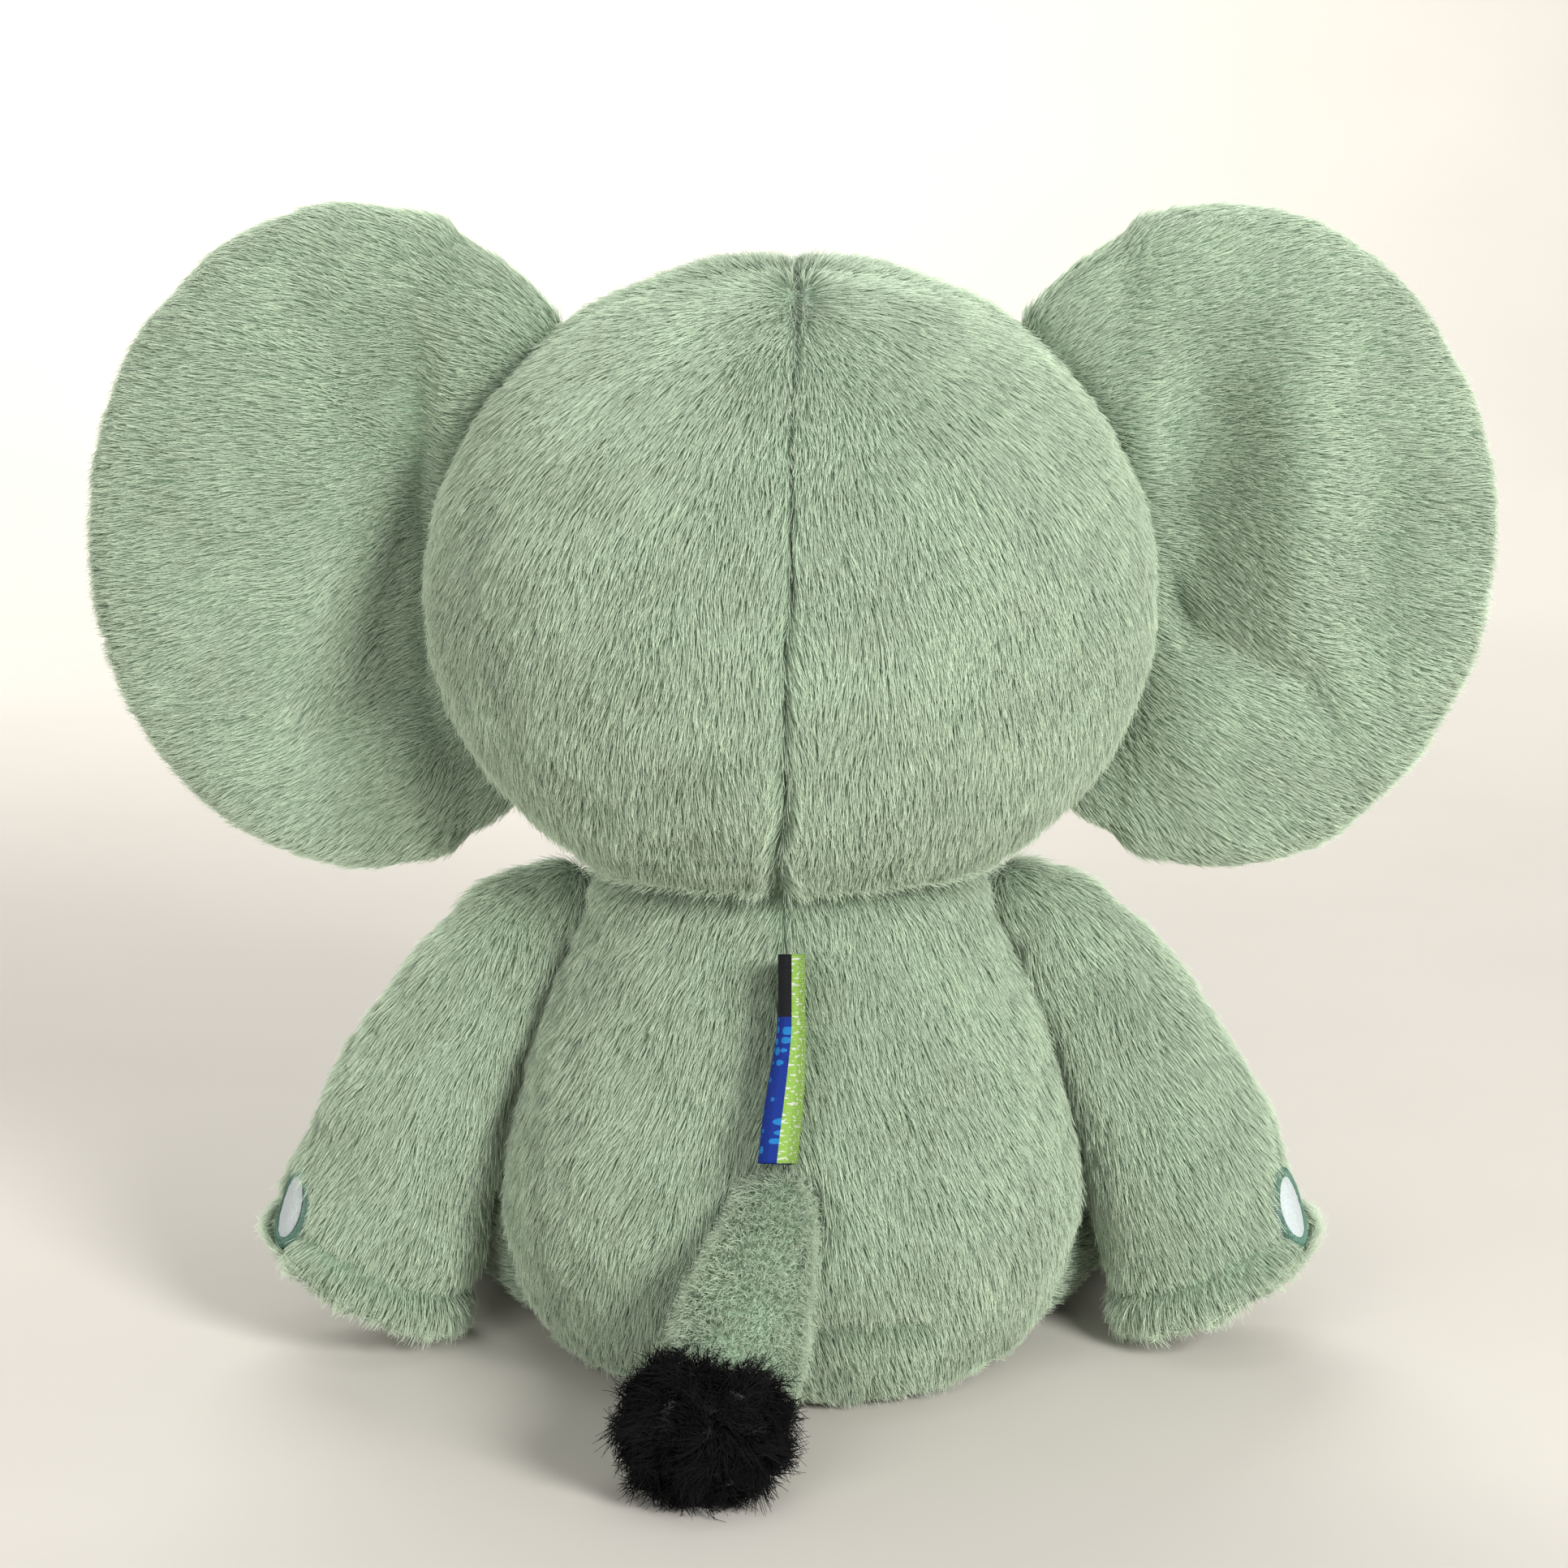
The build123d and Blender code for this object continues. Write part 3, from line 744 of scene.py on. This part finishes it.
def make_torso():
    nodes = ["torso_back_left", "torso_back_right", "torso_belly", "torso_base"]
    obj = stuffed_torso(nodes)
    points, normals = read_points(obj)
    x, y, z = points.T
    back = (y > 0).astype(float)
    skin = (1 - ramp(z, 118, 127)) * ramp(z, 1, 9)
    for joint, reach in TORSO_SOCKETS:
        skin *= ramp(distance(points, pivot(joint)), reach - 5, reach + 3)
    out = (PROUD + 0.9 * lumps(points, 48, 31) + 0.3 * lumps(points, 15, 32)) * skin
    seam = x - 1.5 - 0.7 * np.sin(z / 8.0)
    out += seam_groove(seam, 2.0, 1.1) * back * skin
    flank = ridge(z - 86, 18) * ramp(np.abs(x), 40, 54)
    out += 2.0 * flank * skin
    dart = z - 27 - 0.05 * (x + 16) - 0.4 * np.sin(x / 2.2)
    in_dart = ramp(x, -33, -29) * (1 - ramp(x, -6, -2)) * back
    out += (seam_groove(dart, 3.4, 1.2) + 1.4 * ridge(dart - 5, 3.5)) * in_dart
    points = points + normals * out[:, None]
    keep_above(points, 0.0)
    write_points(obj, points)

    points, normals = read_points(obj)
    x, y, z = points.T
    comb = np.stack([0.4 * x / 30, 0.35 * y / 60, np.full(len(x), -1.0)], 1)
    comb[:, 0] += 0.35 * np.sign(x - 2) * ridge(x - 2, 9) * (y > 0)
    comb = laid_flat(comb, normals)
    points += normals * (tufted(points, comb, 35) * skin)[:, None]
    keep_above(points, 0.0)
    write_points(obj, points)
    # The back seam and the dart, darkened in the foot's colour as painted shade of their grooves.
    line = np.maximum(0.7 * ridge(seam, 0.8) * back, ridge(dart, 1.6) * in_dart)
    store(obj, "seam", line)
    pile = ramp(z, 0.5, 3) * (1 - 0.65 * ramp(z, 122, 128)) * (1 - ramp(z, 133, 136))
    pile *= 1 - 0.9 * line
    grow_pile(obj, ruffled(comb, points, 20, 41), pile, seed=22, floor=0.3)
    finish_piece(obj, "torso", "plush", PLUSH_FOOT, *nodes)


# ---- ears
def ear_fold(points, hinge, side):
    """How far the ear's cloth is folded back (+) or forward (-) at each point, in mm."""
    away = side * (points[:, 0] - hinge[0])
    z = points[:, 2]
    fold = 4.5 * ridge(away - 44, 22) * ridge(z - 204, 60)
    if side > 0:
        slope = away - 5 - 0.28 * np.clip(205 - z, 0, 50)
        valley = 13.0 * (1 - ramp(slope, 2, 26)) * ramp(z, 142, 166) * (1 - ramp(z, 236, 272))
        lobe = 9.0 * ridge(away - 8, 9) * ridge(z - 153, 10)
        fold += lobe - valley
    else:
        crease = (z - 178) + 0.75 * (away - 24) + 4 * np.sin(away / 9)
        root = 9.0 * ridge(away - 14, 13) * ramp(z, 168, 198) * (1 - ramp(z, 228, 262))
        slant = 8.0 * ridge(crease, 8.0) * ramp(away, 2, 12) * (1 - ramp(away, 40, 54))
        lobe = 4.0 * ridge(away - 14, 14) * ridge(z - 157, 14)
        crest = 7.0 * ridge(away - 38, 11) * ridge(z - 216, 38)
        hollow = 7.5 * ridge(away - 58, 10) * ridge(z - 202, 32)
        fold += lobe + crest - root - slant - hollow
    return fold * ramp(away, -6, 6)


def stuffed_ear(half, side, nodes):
    """The ear's skin, stuffed out from its rim seam and its root."""
    obj = skin_of(f"ear_{half}_plush", nodes + [f"ear_{half}_wadding"], FINE_VOXEL)
    low, high = node_box(*nodes)
    hinge = pivot(f"ear_{half}_flap")
    points, _ = read_points(obj)
    middle = np.array([hinge[0] + side * EAR_MIDDLE, 0, hinge[2]])
    half_size = np.array([EAR_RX, 1.0, (high[2] - low[2]) / 2])
    rim = np.linalg.norm(((points - middle) / half_size)[:, [0, 2]], axis=1)
    stuff(obj, (rim > 0.94) | (side * (points[:, 0] - hinge[0]) < 6), 3.0)
    relax(obj, 6)
    return subdivide(obj)


def bend_at_root(obj, half, side, slot, *nodes):
    """Smooths an ear piece, bakes its placement into its points and hides the CAD nodes it stands for."""
    smooth_faces(obj)
    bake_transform(obj)
    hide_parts(*nodes)


def make_ear(half, side):
    nodes = [f"ear_{half}_back", f"ear_{half}_inner"]
    hinge = pivot(f"ear_{half}_flap")
    obj = stuffed_ear(half, side, nodes)
    points, normals = read_points(obj)
    away = side * (points[:, 0] - hinge[0])
    skin = ramp(away, -4, 8)
    inner = 1 - ramp(normals[:, 1], -0.8, -0.5)
    out = PROUD * ramp(away, -6, 2) + 0.5 * lumps(points, 26, 50 + side) * skin
    points = points + normals * out[:, None]
    points[:, 1] += ear_fold(points, hinge, side) * (1 - 0.55 * inner)
    write_points(obj, points)
    relax(obj, 2)

    points, normals = read_points(obj)
    root = np.array([side * 50, EAR_Y, 210])
    comb = unit(points - root) + np.array([side * 0.8, 0, -0.2])
    comb = laid_flat(comb, normals)
    raise_skin(obj, points, normals, tufted(points, comb, 65, 0.2) * skin * (1 - inner))
    grow_pile(obj, ruffled(comb, points, 18, 61), 1 - inner, seed=23 + side, length=5.0, lift=0.42)
    obj.data.materials.append(PLUSH_FOOT)
    obj.data.materials.append(VELOUR)
    front = [min(inner[vert] for vert in face.vertices) > 0.5 for face in obj.data.polygons]
    obj.data.polygons.foreach_set("material_index", np.array(front, np.int32))
    bend_at_root(obj, half, side, "plush", *nodes)


def make_ear_wadding(half, side):
    """The soft sheet in the ear, thinned where the cloth is folded so that it stays inside."""
    wadding = skin_of(f"ear_{half}_wadding_sheet", [f"ear_{half}_wadding"], FINE_VOXEL)
    points, normals = read_points(wadding)
    fold = ear_fold(points, pivot(f"ear_{half}_flap"), side)
    points[:, 1] += 0.7 * fold - 0.28 * (points[:, 1] - EAR_Y)
    raise_skin(wadding, points, normals, 0.3 * lumps(points, 9, 68))
    wadding.data.materials.append(FIBRE)
    bend_at_root(wadding, half, side, "fibre", f"ear_{half}_wadding")


# ---- nails
def islands(node):
    """The separate lumps of a CAD node, each as its points in mm."""
    mesh = bmesh.new()
    mesh.from_mesh(NODES[node].data)
    bmesh.ops.remove_doubles(mesh, verts=mesh.verts, dist=1e-6)
    left = set(mesh.verts)
    clouds = []
    while left:
        stack = [left.pop()]
        found = []
        while stack:
            vert = stack.pop()
            found.append(tuple(vert.co / MM))
            near = {edge.other_vert(vert) for edge in vert.link_edges} & left
            left -= near
            stack.extend(near)
        clouds.append(np.array(found))
    mesh.free()
    return clouds


def sheet_terms(u, v):
    """The terms of a gently bent and twisted sheet over two axes."""
    return np.stack([np.ones_like(u), u, v, u * u, u * v], -1)


def nail_places(kind, half, joint, heading):
    """The nails of one limb: each its middle, axes across, along and out, half sizes and top sheet."""
    places = []
    for cloud in islands(f"{kind}_{half}_nails"):
        middle = (cloud.min(0) + cloud.max(0)) / 2
        _, _, axes = np.linalg.svd(cloud - cloud.mean(0), full_matrices=False)
        root = pivot(joint)
        in_limb = root + heading * ((middle - root) @ heading)
        out = axes[2] if axes[2] @ (middle - in_limb) > 0 else -axes[2]
        along = unit(heading - out * (heading @ out))
        axes = np.array([np.cross(along, out), along, out])
        u, v, w = ((cloud - middle) @ axes.T).T
        size = np.array([np.abs(u).max(), np.abs(v).max()])
        terms = sheet_terms(u, v)
        sheet = np.linalg.lstsq(terms, w, rcond=None)[0]
        raised = w > terms @ sheet
        sheet = np.linalg.lstsq(terms[raised], w[raised], rcond=None)[0]
        places.append((middle, axes, size, sheet))
    return places


def over_nail(place, radius, angle, lift):
    """A point over a nail in mm, by how far out it is (1 at the rim), its angle and its height."""
    middle, axes, size, sheet = place
    u = np.float64(radius * size[0] * math.cos(angle))
    v = np.float64(radius * size[1] * math.sin(angle))
    return middle + np.array([u, v, sheet_terms(u, v) @ sheet + lift]) @ axes


def press_nails(points, places):
    """The skin pressed in under each nail, and how much pile is left round it."""
    left = np.ones(len(points))
    for middle, axes, size, sheet in places:
        u, v, w = ((points - middle) @ axes.T).T
        reach = np.hypot(u / size[0], v / size[1])
        near = (reach < 1.6) & (np.abs(w) < 9)
        under = near * (1 - ramp(reach, 1.02, 1.25))
        drop = np.maximum(w - (sheet_terms(u, v) @ sheet - 1.5), 0) * under
        points = points - drop[:, None] * axes[2]
        left = np.where(near, np.minimum(left, ramp(reach, 1.03, 1.3)), left)
    return points, left


def tube_faces(first, rows, sides):
    """The faces of a closed tube whose rings of points follow one another from the first index."""
    faces = [[first + i for i in reversed(range(sides))]]
    for ring in range(first, first + (rows - 1) * sides, sides):
        for i in range(sides):
            a, b = ring + i, ring + (i + 1) % sides
            faces.append([a, b, b + sides, a + sides])
    faces.append([first + (rows - 1) * sides + i for i in range(sides)])
    return faces


def pad_mesh(name, places, crown=0.9, thick=1.7, turns=40):
    """Domed felt pads with rounded edges, one on each nail place."""
    rings = [0.25, 0.5, 0.72, 0.88, 0.97, 1.0]
    loops = [(r, crown * (1 - r**2) - 0.35 * ramp(r, 0.9, 1.0)) for r in rings]
    loops += [(r, -thick + 0.25 * r) for r in reversed(rings)]
    verts, faces = [], []
    for place in places:
        pad = tube_faces(len(verts), len(loops), turns)
        faces += [face[::-1] for face in pad]
        for radius, lift in loops:
            for i in range(turns):
                spot = over_nail(place, radius, 2 * math.pi * i / turns, lift)
                verts.append(tuple(spot * MM))
    return build_mesh(name, verts, faces)


def thread_mesh(name, paths, radius, sides=6):
    """Round threads along short paths, each a few points in mm, tapered at both ends."""
    verts, faces = [], []
    for path in paths:
        faces += tube_faces(len(verts), len(path), sides)
        run = np.gradient(path, axis=0)
        side = unit(np.cross(run, path[-1] - path[0] + np.array([0.3, 0.7, 0.2])))
        lift = unit(np.cross(run, side))
        for step, spot in enumerate(path):
            thick = radius * (0.55 if step in (0, len(path) - 1) else 1.0)
            for i in range(sides):
                angle = 2 * math.pi * i / sides
                offset = side[step] * math.cos(angle) + lift[step] * math.sin(angle)
                verts.append(tuple((spot + thick * offset) * MM))
    return build_mesh(name, verts, faces)


def satin_stitches(places, seed, pitch=0.5):
    """Paths of stitches laid side by side over the rim of each nail."""
    arch = ((0.80, 0.15), (0.86, 0.55), (0.95, 0.7), (1.03, 0.35), (1.07, -0.6))
    rng = np.random.default_rng(seed)
    paths = []
    for place in places:
        count = int(2 * math.pi * place[2].mean() / pitch)
        for i in range(count):
            angle = 2 * math.pi * i / count
            path = [over_nail(place, r + rng.uniform(-0.012, 0.012), angle, lift) for r, lift in arch]
            paths.append(np.array(path))
    return paths


# ---- limbs, trunk and tail
def flat_end(node, start):
    """(centre, outward normal) of a flat end, from its CAD node."""
    points, _ = read_points(NODES[node])
    middle = points.mean(0)
    _, _, axes = np.linalg.svd(points - middle, full_matrices=False)
    return middle, axes[2] if axes[2] @ (middle - start) > 0 else -axes[2]


def tube_skin(name, nodes, filling, start, end, held=8):
    """The skin of a sewn tube, held at its root and at its flat end, and blown out between."""
    obj = skin_of(name, nodes + [filling], FINE_VOXEL)
    points, _ = read_points(obj)
    middle, normal = end
    stuff(obj, (distance(points, start) < held) | ((middle - points) @ normal < 3), 1.5)
    relax(obj, 3)
    return subdivide(obj)


def face_front(obj, direction, centre, reach, material):
    """Gives the faces that look one way near a place their own material."""
    facing = read_rows(obj.data.polygons, "normal") @ direction
    gap = (read_rows(obj.data.polygons, "center") / MM - centre) @ direction
    front = (facing > 0.8) & (np.abs(gap) < reach)
    obj.data.materials.append(material)
    obj.data.polygons.foreach_set("material_index", front.astype(np.int32))


def hem_flare(depth):
    """How far a sole's seam allowance stands out, and the stitched hem behind it is drawn in, in mm."""
    return 2.4 * ridge(depth - 1.5, 4.0) - 2.6 * ridge(depth - 8.5, 1.5)


def make_limb(kind, half, side, joint, panels):
    nodes = [f"{kind}_{half}_{panel}" for panel in panels]
    is_leg = kind == "leg"
    start = pivot(joint)
    sole, normal = flat_end(f"{kind}_{half}_sole", start)
    heading = unit(sole - start)
    obj = tube_skin(f"{kind}_{half}_plush", nodes, f"{kind}_{half}_stuffing", start, (sole, normal))
    places = nail_places(kind, half, joint, heading)
    points, normals = read_points(obj)
    depth = (sole - points) @ normal
    skin = ramp(distance(points, start), 4, 16)
    out = (PROUD + 0.7 * lumps(points, 30, 70 + side) + 0.3 * lumps(points, 12, 72)) * skin
    if not is_leg:
        out += 3.0 * ramp(-side * normals[:, 0], 0.2, 0.9) * ridge(points[:, 2] - 84, 20) * skin
    points = points + normals * out[:, None]
    outward = points - sole
    outward -= normal * (outward @ normal)[:, None]
    rim = ramp(np.linalg.norm(outward, axis=1), 10, 17)
    outward = unit(outward)
    points += outward * (hem_flare(depth) * rim)[:, None]
    points, left = press_nails(points, places)
    if is_leg:
        keep_above(points, 0.2)
    write_points(obj, points)

    points, normals = read_points(obj)
    comb = heading + outward * (1.3 * ramp(-depth, -7, -2))[:, None]
    comb = laid_flat(comb, normals)
    raise_skin(obj, points, normals, tufted(points, comb, 85) * skin * left)
    pile = left * (1 - 0.6 * ridge(depth - 8.5, 1.8) * rim)
    if is_leg:
        pile *= ramp(points[:, 2], 0.3, 2.5) * (1 - 0.999 * ramp(normals @ normal, 0.6, 0.85))
    floor = 0.3 if is_leg else None
    grow_pile(obj, ruffled(comb, points, 18, 81), pile, seed=90 + side, floor=floor)
    obj.data.materials.append(PLUSH_FOOT)
    if is_leg:
        face_front(obj, normal, sole, 6, VELOUR)
    finish_piece(obj, f"{kind}_{half}", "plush", PLUSH_FOOT, *nodes)
    make_nails(f"{kind}_{half}", places)


def make_nails(limb, places):
    felt = subdivide(pad_mesh(f"{limb}_nail_felt", places))
    points, normals = read_points(felt)
    raise_skin(felt, points, normals, 0.07 * lumps(points, 1.6, 95))
    finish_piece(felt, limb, "felt", FELT, f"{limb}_nails")
    thread = thread_mesh(f"{limb}_nail_stitching", satin_stitches(places, 97), 0.22)
    finish_piece(thread, limb, "thread", NAIL_THREAD)


def make_trunk():
    nodes = ["trunk_sleeve", "trunk_tip"]
    start = pivot("trunk_lift")
    tip, normal = flat_end("trunk_tip", start)
    obj = tube_skin("trunk_plush", nodes, "trunk_stuffing", start, (tip, normal), held=20)
    points, normals = read_points(obj)
    depth = (tip - points) @ normal
    outward = points - tip
    spread = np.linalg.norm(outward - normal * (outward @ normal)[:, None], axis=1)
    out = PROUD * ramp(distance(points, start), 8, 20) + 0.5 * lumps(points, 24, 101)
    out += seam_groove(depth - 6, 1.6, 1.4)
    points = points + normals * out[:, None]
    hollow = 3.5 * (1 - ramp(spread, 3, 10)) * (depth < 3)
    write_points(obj, points - normal * hollow[:, None])

    points, normals = read_points(obj)
    comb = np.stack([0 * depth, -0.5 * ramp(points[:, 2], 140, 170), -np.ones(len(depth))], 1)
    comb = laid_flat(comb, normals)
    raise_skin(obj, points, normals, tufted(points, comb, 105, 0.2))
    pile = 1 - 0.999 * ramp(normals @ normal, 0.6, 0.85) * (depth < 6)
    grow_pile(obj, ruffled(comb, points, 16, 111), pile, seed=24, length=5.0)
    obj.data.materials.append(PLUSH_FOOT)
    face_front(obj, normal, tip, 6, VELOUR)
    finish_piece(obj, "trunk", "plush", PLUSH_FOOT, *nodes)


def make_tail():
    obj = skin_of("tail_plush", ["tail_sleeve", "tail_stuffing"], SMALL_VOXEL)
    relax(obj, 3)
    subdivide(obj)
    points, normals = read_points(obj)
    raise_skin(obj, points, normals, 1.8 + 0.5 * lumps(points, 18, 121))
    points, normals = read_points(obj)
    down = unit(pivot("tuft_swing") - pivot("tail_swing")) * 0.35
    comb = ruffled(np.tile(down, (len(points), 1)), points, 12, 131, 0.2)
    raise_skin(obj, points, normals, 0.25 * lumps(points, 3.5, 125))
    shape = {"density": 3.2, "length": 5.0, "lift": 1.0, "stray": 0.3}
    grow_pile(obj, comb, np.ones(len(points)), seed=25, strand=TAIL_STRAND, **shape)
    finish_piece(obj, "tail", "plush", PLUSH_FOOT, "tail_sleeve")


def make_tuft():
    obj = skin_of("tail_tuft_pile", ["tail_tuft"], SMALL_VOXEL)
    relax(obj, 4)
    subdivide(obj)
    points, normals = read_points(obj)
    centre = np.mean(node_box("tail_tuft"), 0)
    points = centre + (points - centre) * np.array([1.0, 0.92, 0.88])
    points += normals * (1.5 * lumps(points, 13, 141) + 0.7 * lumps(points, 5, 142))[:, None]
    keep_above(points, 0.8)
    write_points(obj, points)
    points, normals = read_points(obj)
    comb = ruffled(np.zeros_like(points), points, 8, 151, 1.1)
    comb[:, 2] -= 0.15
    shape = {"density": 3.6, "guide": 0.13, "radius": 0.12, "length": 6.5, "lift": 1.05}
    shape.update(clump=0.9, stray=0.38)
    grow_pile(obj, comb, np.ones(len(points)), seed=26, strand=TUFT_STRAND, floor=0.4, **shape)
    finish_piece(obj, "tuft", "pompom", TUFT_FOOT, "tail_tuft")


# ---- label
LABEL_LENGTH = 49.0  # mm up the back
LABEL_REACH = 13.0  # mm out from the back to the fold
LABEL_LOOP = 4.0  # mm that each half stands open
LABEL_THICK = 0.45  # mm
LABEL_ROWS, LABEL_COLS = 60, 48


def label_spot(across, up):
    """A point of the folded ribbon: (to the side, out from the back, up the back) in mm."""
    turn = 2 * across - 1
    width = LABEL_LOOP * (0.75 + 0.35 * ramp(0.8 - up, 0, 0.6))
    bulge = -math.copysign(width, turn) * math.sin(math.pi * abs(turn) ** 0.62) ** 0.8
    reach = LABEL_REACH * (1 - abs(turn) ** 2.6) + 0.3 * math.sin(7 * up)
    lean = 6.0 * (math.hypot(max(0.68 - up, 0), 0.1) - 0.1)
    sway = lean * max(reach, 0) / LABEL_REACH
    return bulge + sway, reach, LABEL_LENGTH * up - 1.5


def make_label():
    """A ribbon folded in two, its ends in the back seam, leaning to the left at its foot."""
    up_dir = unit(np.array(JOINTS["label_flip"]["axis"]))
    side_dir = np.array([1.0, 0, 0])
    out_dir = np.cross(up_dir, side_dir)
    out_dir *= np.sign(out_dir[1])
    frame_axes = np.array([side_dir, out_dir, up_dir])
    grid = [(j / LABEL_COLS, i / LABEL_ROWS) for i in range(LABEL_ROWS + 1) for j in range(LABEL_COLS + 1)]
    verts = [tuple((pivot("label_flip") + label_spot(u, v) @ frame_axes) * MM) for u, v in grid]
    line = LABEL_COLS + 1
    starts = [i * line + j for i in range(LABEL_ROWS) for j in range(LABEL_COLS)]
    obj = build_mesh("label_ribbon", verts, [(a, a + 1, a + line + 1, a + line) for a in starts])
    across, up = np.array(grid).T
    store(obj, "across", across)
    store(obj, "up", up)
    thick = obj.modifiers.new("cloth", "SOLIDIFY")
    thick.thickness = LABEL_THICK * MM
    thick.offset = 0
    apply_modifiers(obj)
    finish_piece(obj, "label", "ribbon", RIBBON, "label")


# ---- carried-over CAD nodes
def dress(node, material):
    """Gives a CAD node that stays its own material."""
    NODES[node].data.materials.clear()
    NODES[node].data.materials.append(material)


def dress_cad_nodes():
    for node in NODES:
        if node.endswith(("_stuffing", "_wadding")):
            dress(node, FIBRE)
        elif node.endswith("_nails"):
            dress(node, FELT)
        elif node.startswith("eye_washer"):
            dress(node, WASHER)
        elif node.startswith("eye_"):
            dress(node, EYE)
    dress("bean_pouch", COTTON)
    dress("bean_pellets", PELLETS)
    dress("neck_seam", SEAM_THREAD)


# ---- stage, light and camera
def make_stage():
    """A pale floor that curves up into a wall in front of the toy."""
    s = Shader("floor_paint")
    shade = s.mix(s.fit(s.noise(3.0, 4.0), 0.3, 0.7), srgb(204, 199, 190), srgb(212, 207, 198))
    paint = s.principled(Base_Color=shade, Roughness=0.85, Specular_IOR_Level=0.05)
    radius, width, steps = 1.2, 9.0, 12
    profile = [(-9.0, 0.0), (1.0, 0.0)]
    for step in range(steps + 1):
        angle = math.pi / 2 * step / steps
        profile.append((1.0 + radius * math.sin(angle), radius - radius * math.cos(angle)))
    profile.append((1.0 + radius, 4.0))
    verts = [(x, -back, height) for x in (-width, width) for back, height in profile]
    count = len(profile)
    faces = [(i, i + 1, count + i + 1, count + i) for i in range(count - 1)]
    floor = build_mesh("studio_floor", verts, faces)
    floor.data.materials.append(paint)
    smooth_faces(floor)


def area_light(name, place, size, power):
    """A round soft light aimed at the toy's middle."""
    data = bpy.data.lights.new(name, "AREA")
    data.shape = "DISK"
    data.size = size
    data.energy = power
    light = new_object(name, data)
    light.location = place
    light.rotation_euler = (Vector(TOY_MIDDLE) - light.location).to_track_quat("-Z", "Y").to_euler()


TOY_MIDDLE = (0, 0, 0.14)
LIGHTS = (  # name, place in m, diameter in m, watts
    ("key", (-1.15, 1.75, 1.05), 0.75, 58),
    ("fill", (0.9, 2.0, 0.8), 1.4, 24),
    ("front_fill", (0.3, -1.7, 1.1), 1.5, 32),
    ("top", (0.0, 0.2, 1.9), 1.3, 5),
)


def make_lights():
    """Large soft lights on the camera's side, so the back is evenly lit and the folds go dark."""
    for light in LIGHTS:
        area_light(*light)
    world = bpy.data.worlds.new("soft_room")
    world.use_nodes = True
    tree = world.node_tree
    room = tree.nodes["Background"]
    room.inputs["Color"].default_value = (0.97, 0.97, 1.0, 1)
    room.inputs["Strength"].default_value = 0.26
    wall = tree.nodes.new("ShaderNodeBackground")
    wall.inputs["Color"].default_value = (0.86, 0.85, 0.83, 1)
    seen = tree.nodes.new("ShaderNodeMixShader")
    tree.links.new(tree.nodes.new("ShaderNodeLightPath").outputs["Is Camera Ray"], seen.inputs[0])
    tree.links.new(room.outputs[0], seen.inputs[1])
    tree.links.new(wall.outputs[0], seen.inputs[2])
    tree.links.new(seen.outputs[0], tree.nodes["World Output"].inputs["Surface"])
    bpy.context.scene.world = world


CAMERA_RISE = math.radians(12)
CAMERA_DISTANCE = 1.2  # m
HALF_VIEW = 0.1932  # m, half the width in view at the toy
SENSOR = 36  # mm


def make_camera():
    """Behind the toy and a little above it, as far off as makes the toy fill the frame."""
    low, high = (Vector(corner) for corner in cad_bounds)
    aim = Vector((0.0018, 0.0, (high.z - low.z) * 0.508))
    data = bpy.data.cameras.new("camera")
    data.sensor_width = SENSOR
    data.lens = SENSOR / 2 / (HALF_VIEW / CAMERA_DISTANCE)
    camera = new_object("camera", data)
    camera.location = aim + CAMERA_DISTANCE * Vector((0, math.cos(CAMERA_RISE), math.sin(CAMERA_RISE)))
    camera.rotation_euler = (aim - camera.location).to_track_quat("-Z", "Y").to_euler()
    bpy.context.scene.camera = camera


dress_cad_nodes()
make_head()
make_torso()
make_trunk()
make_tail()
make_tuft()
make_label()
for half, side in SIDES:
    make_ear(half, side)
    make_ear_wadding(half, side)
    make_limb("arm", half, side, f"arm_{half}_raise", ("front", "back", "sole"))
    make_limb("leg", half, side, f"leg_{half}_lift", ("top", "under", "sole"))
make_stage()
make_lights()
make_camera()
bpy.context.scene.view_settings.view_transform = "Standard"
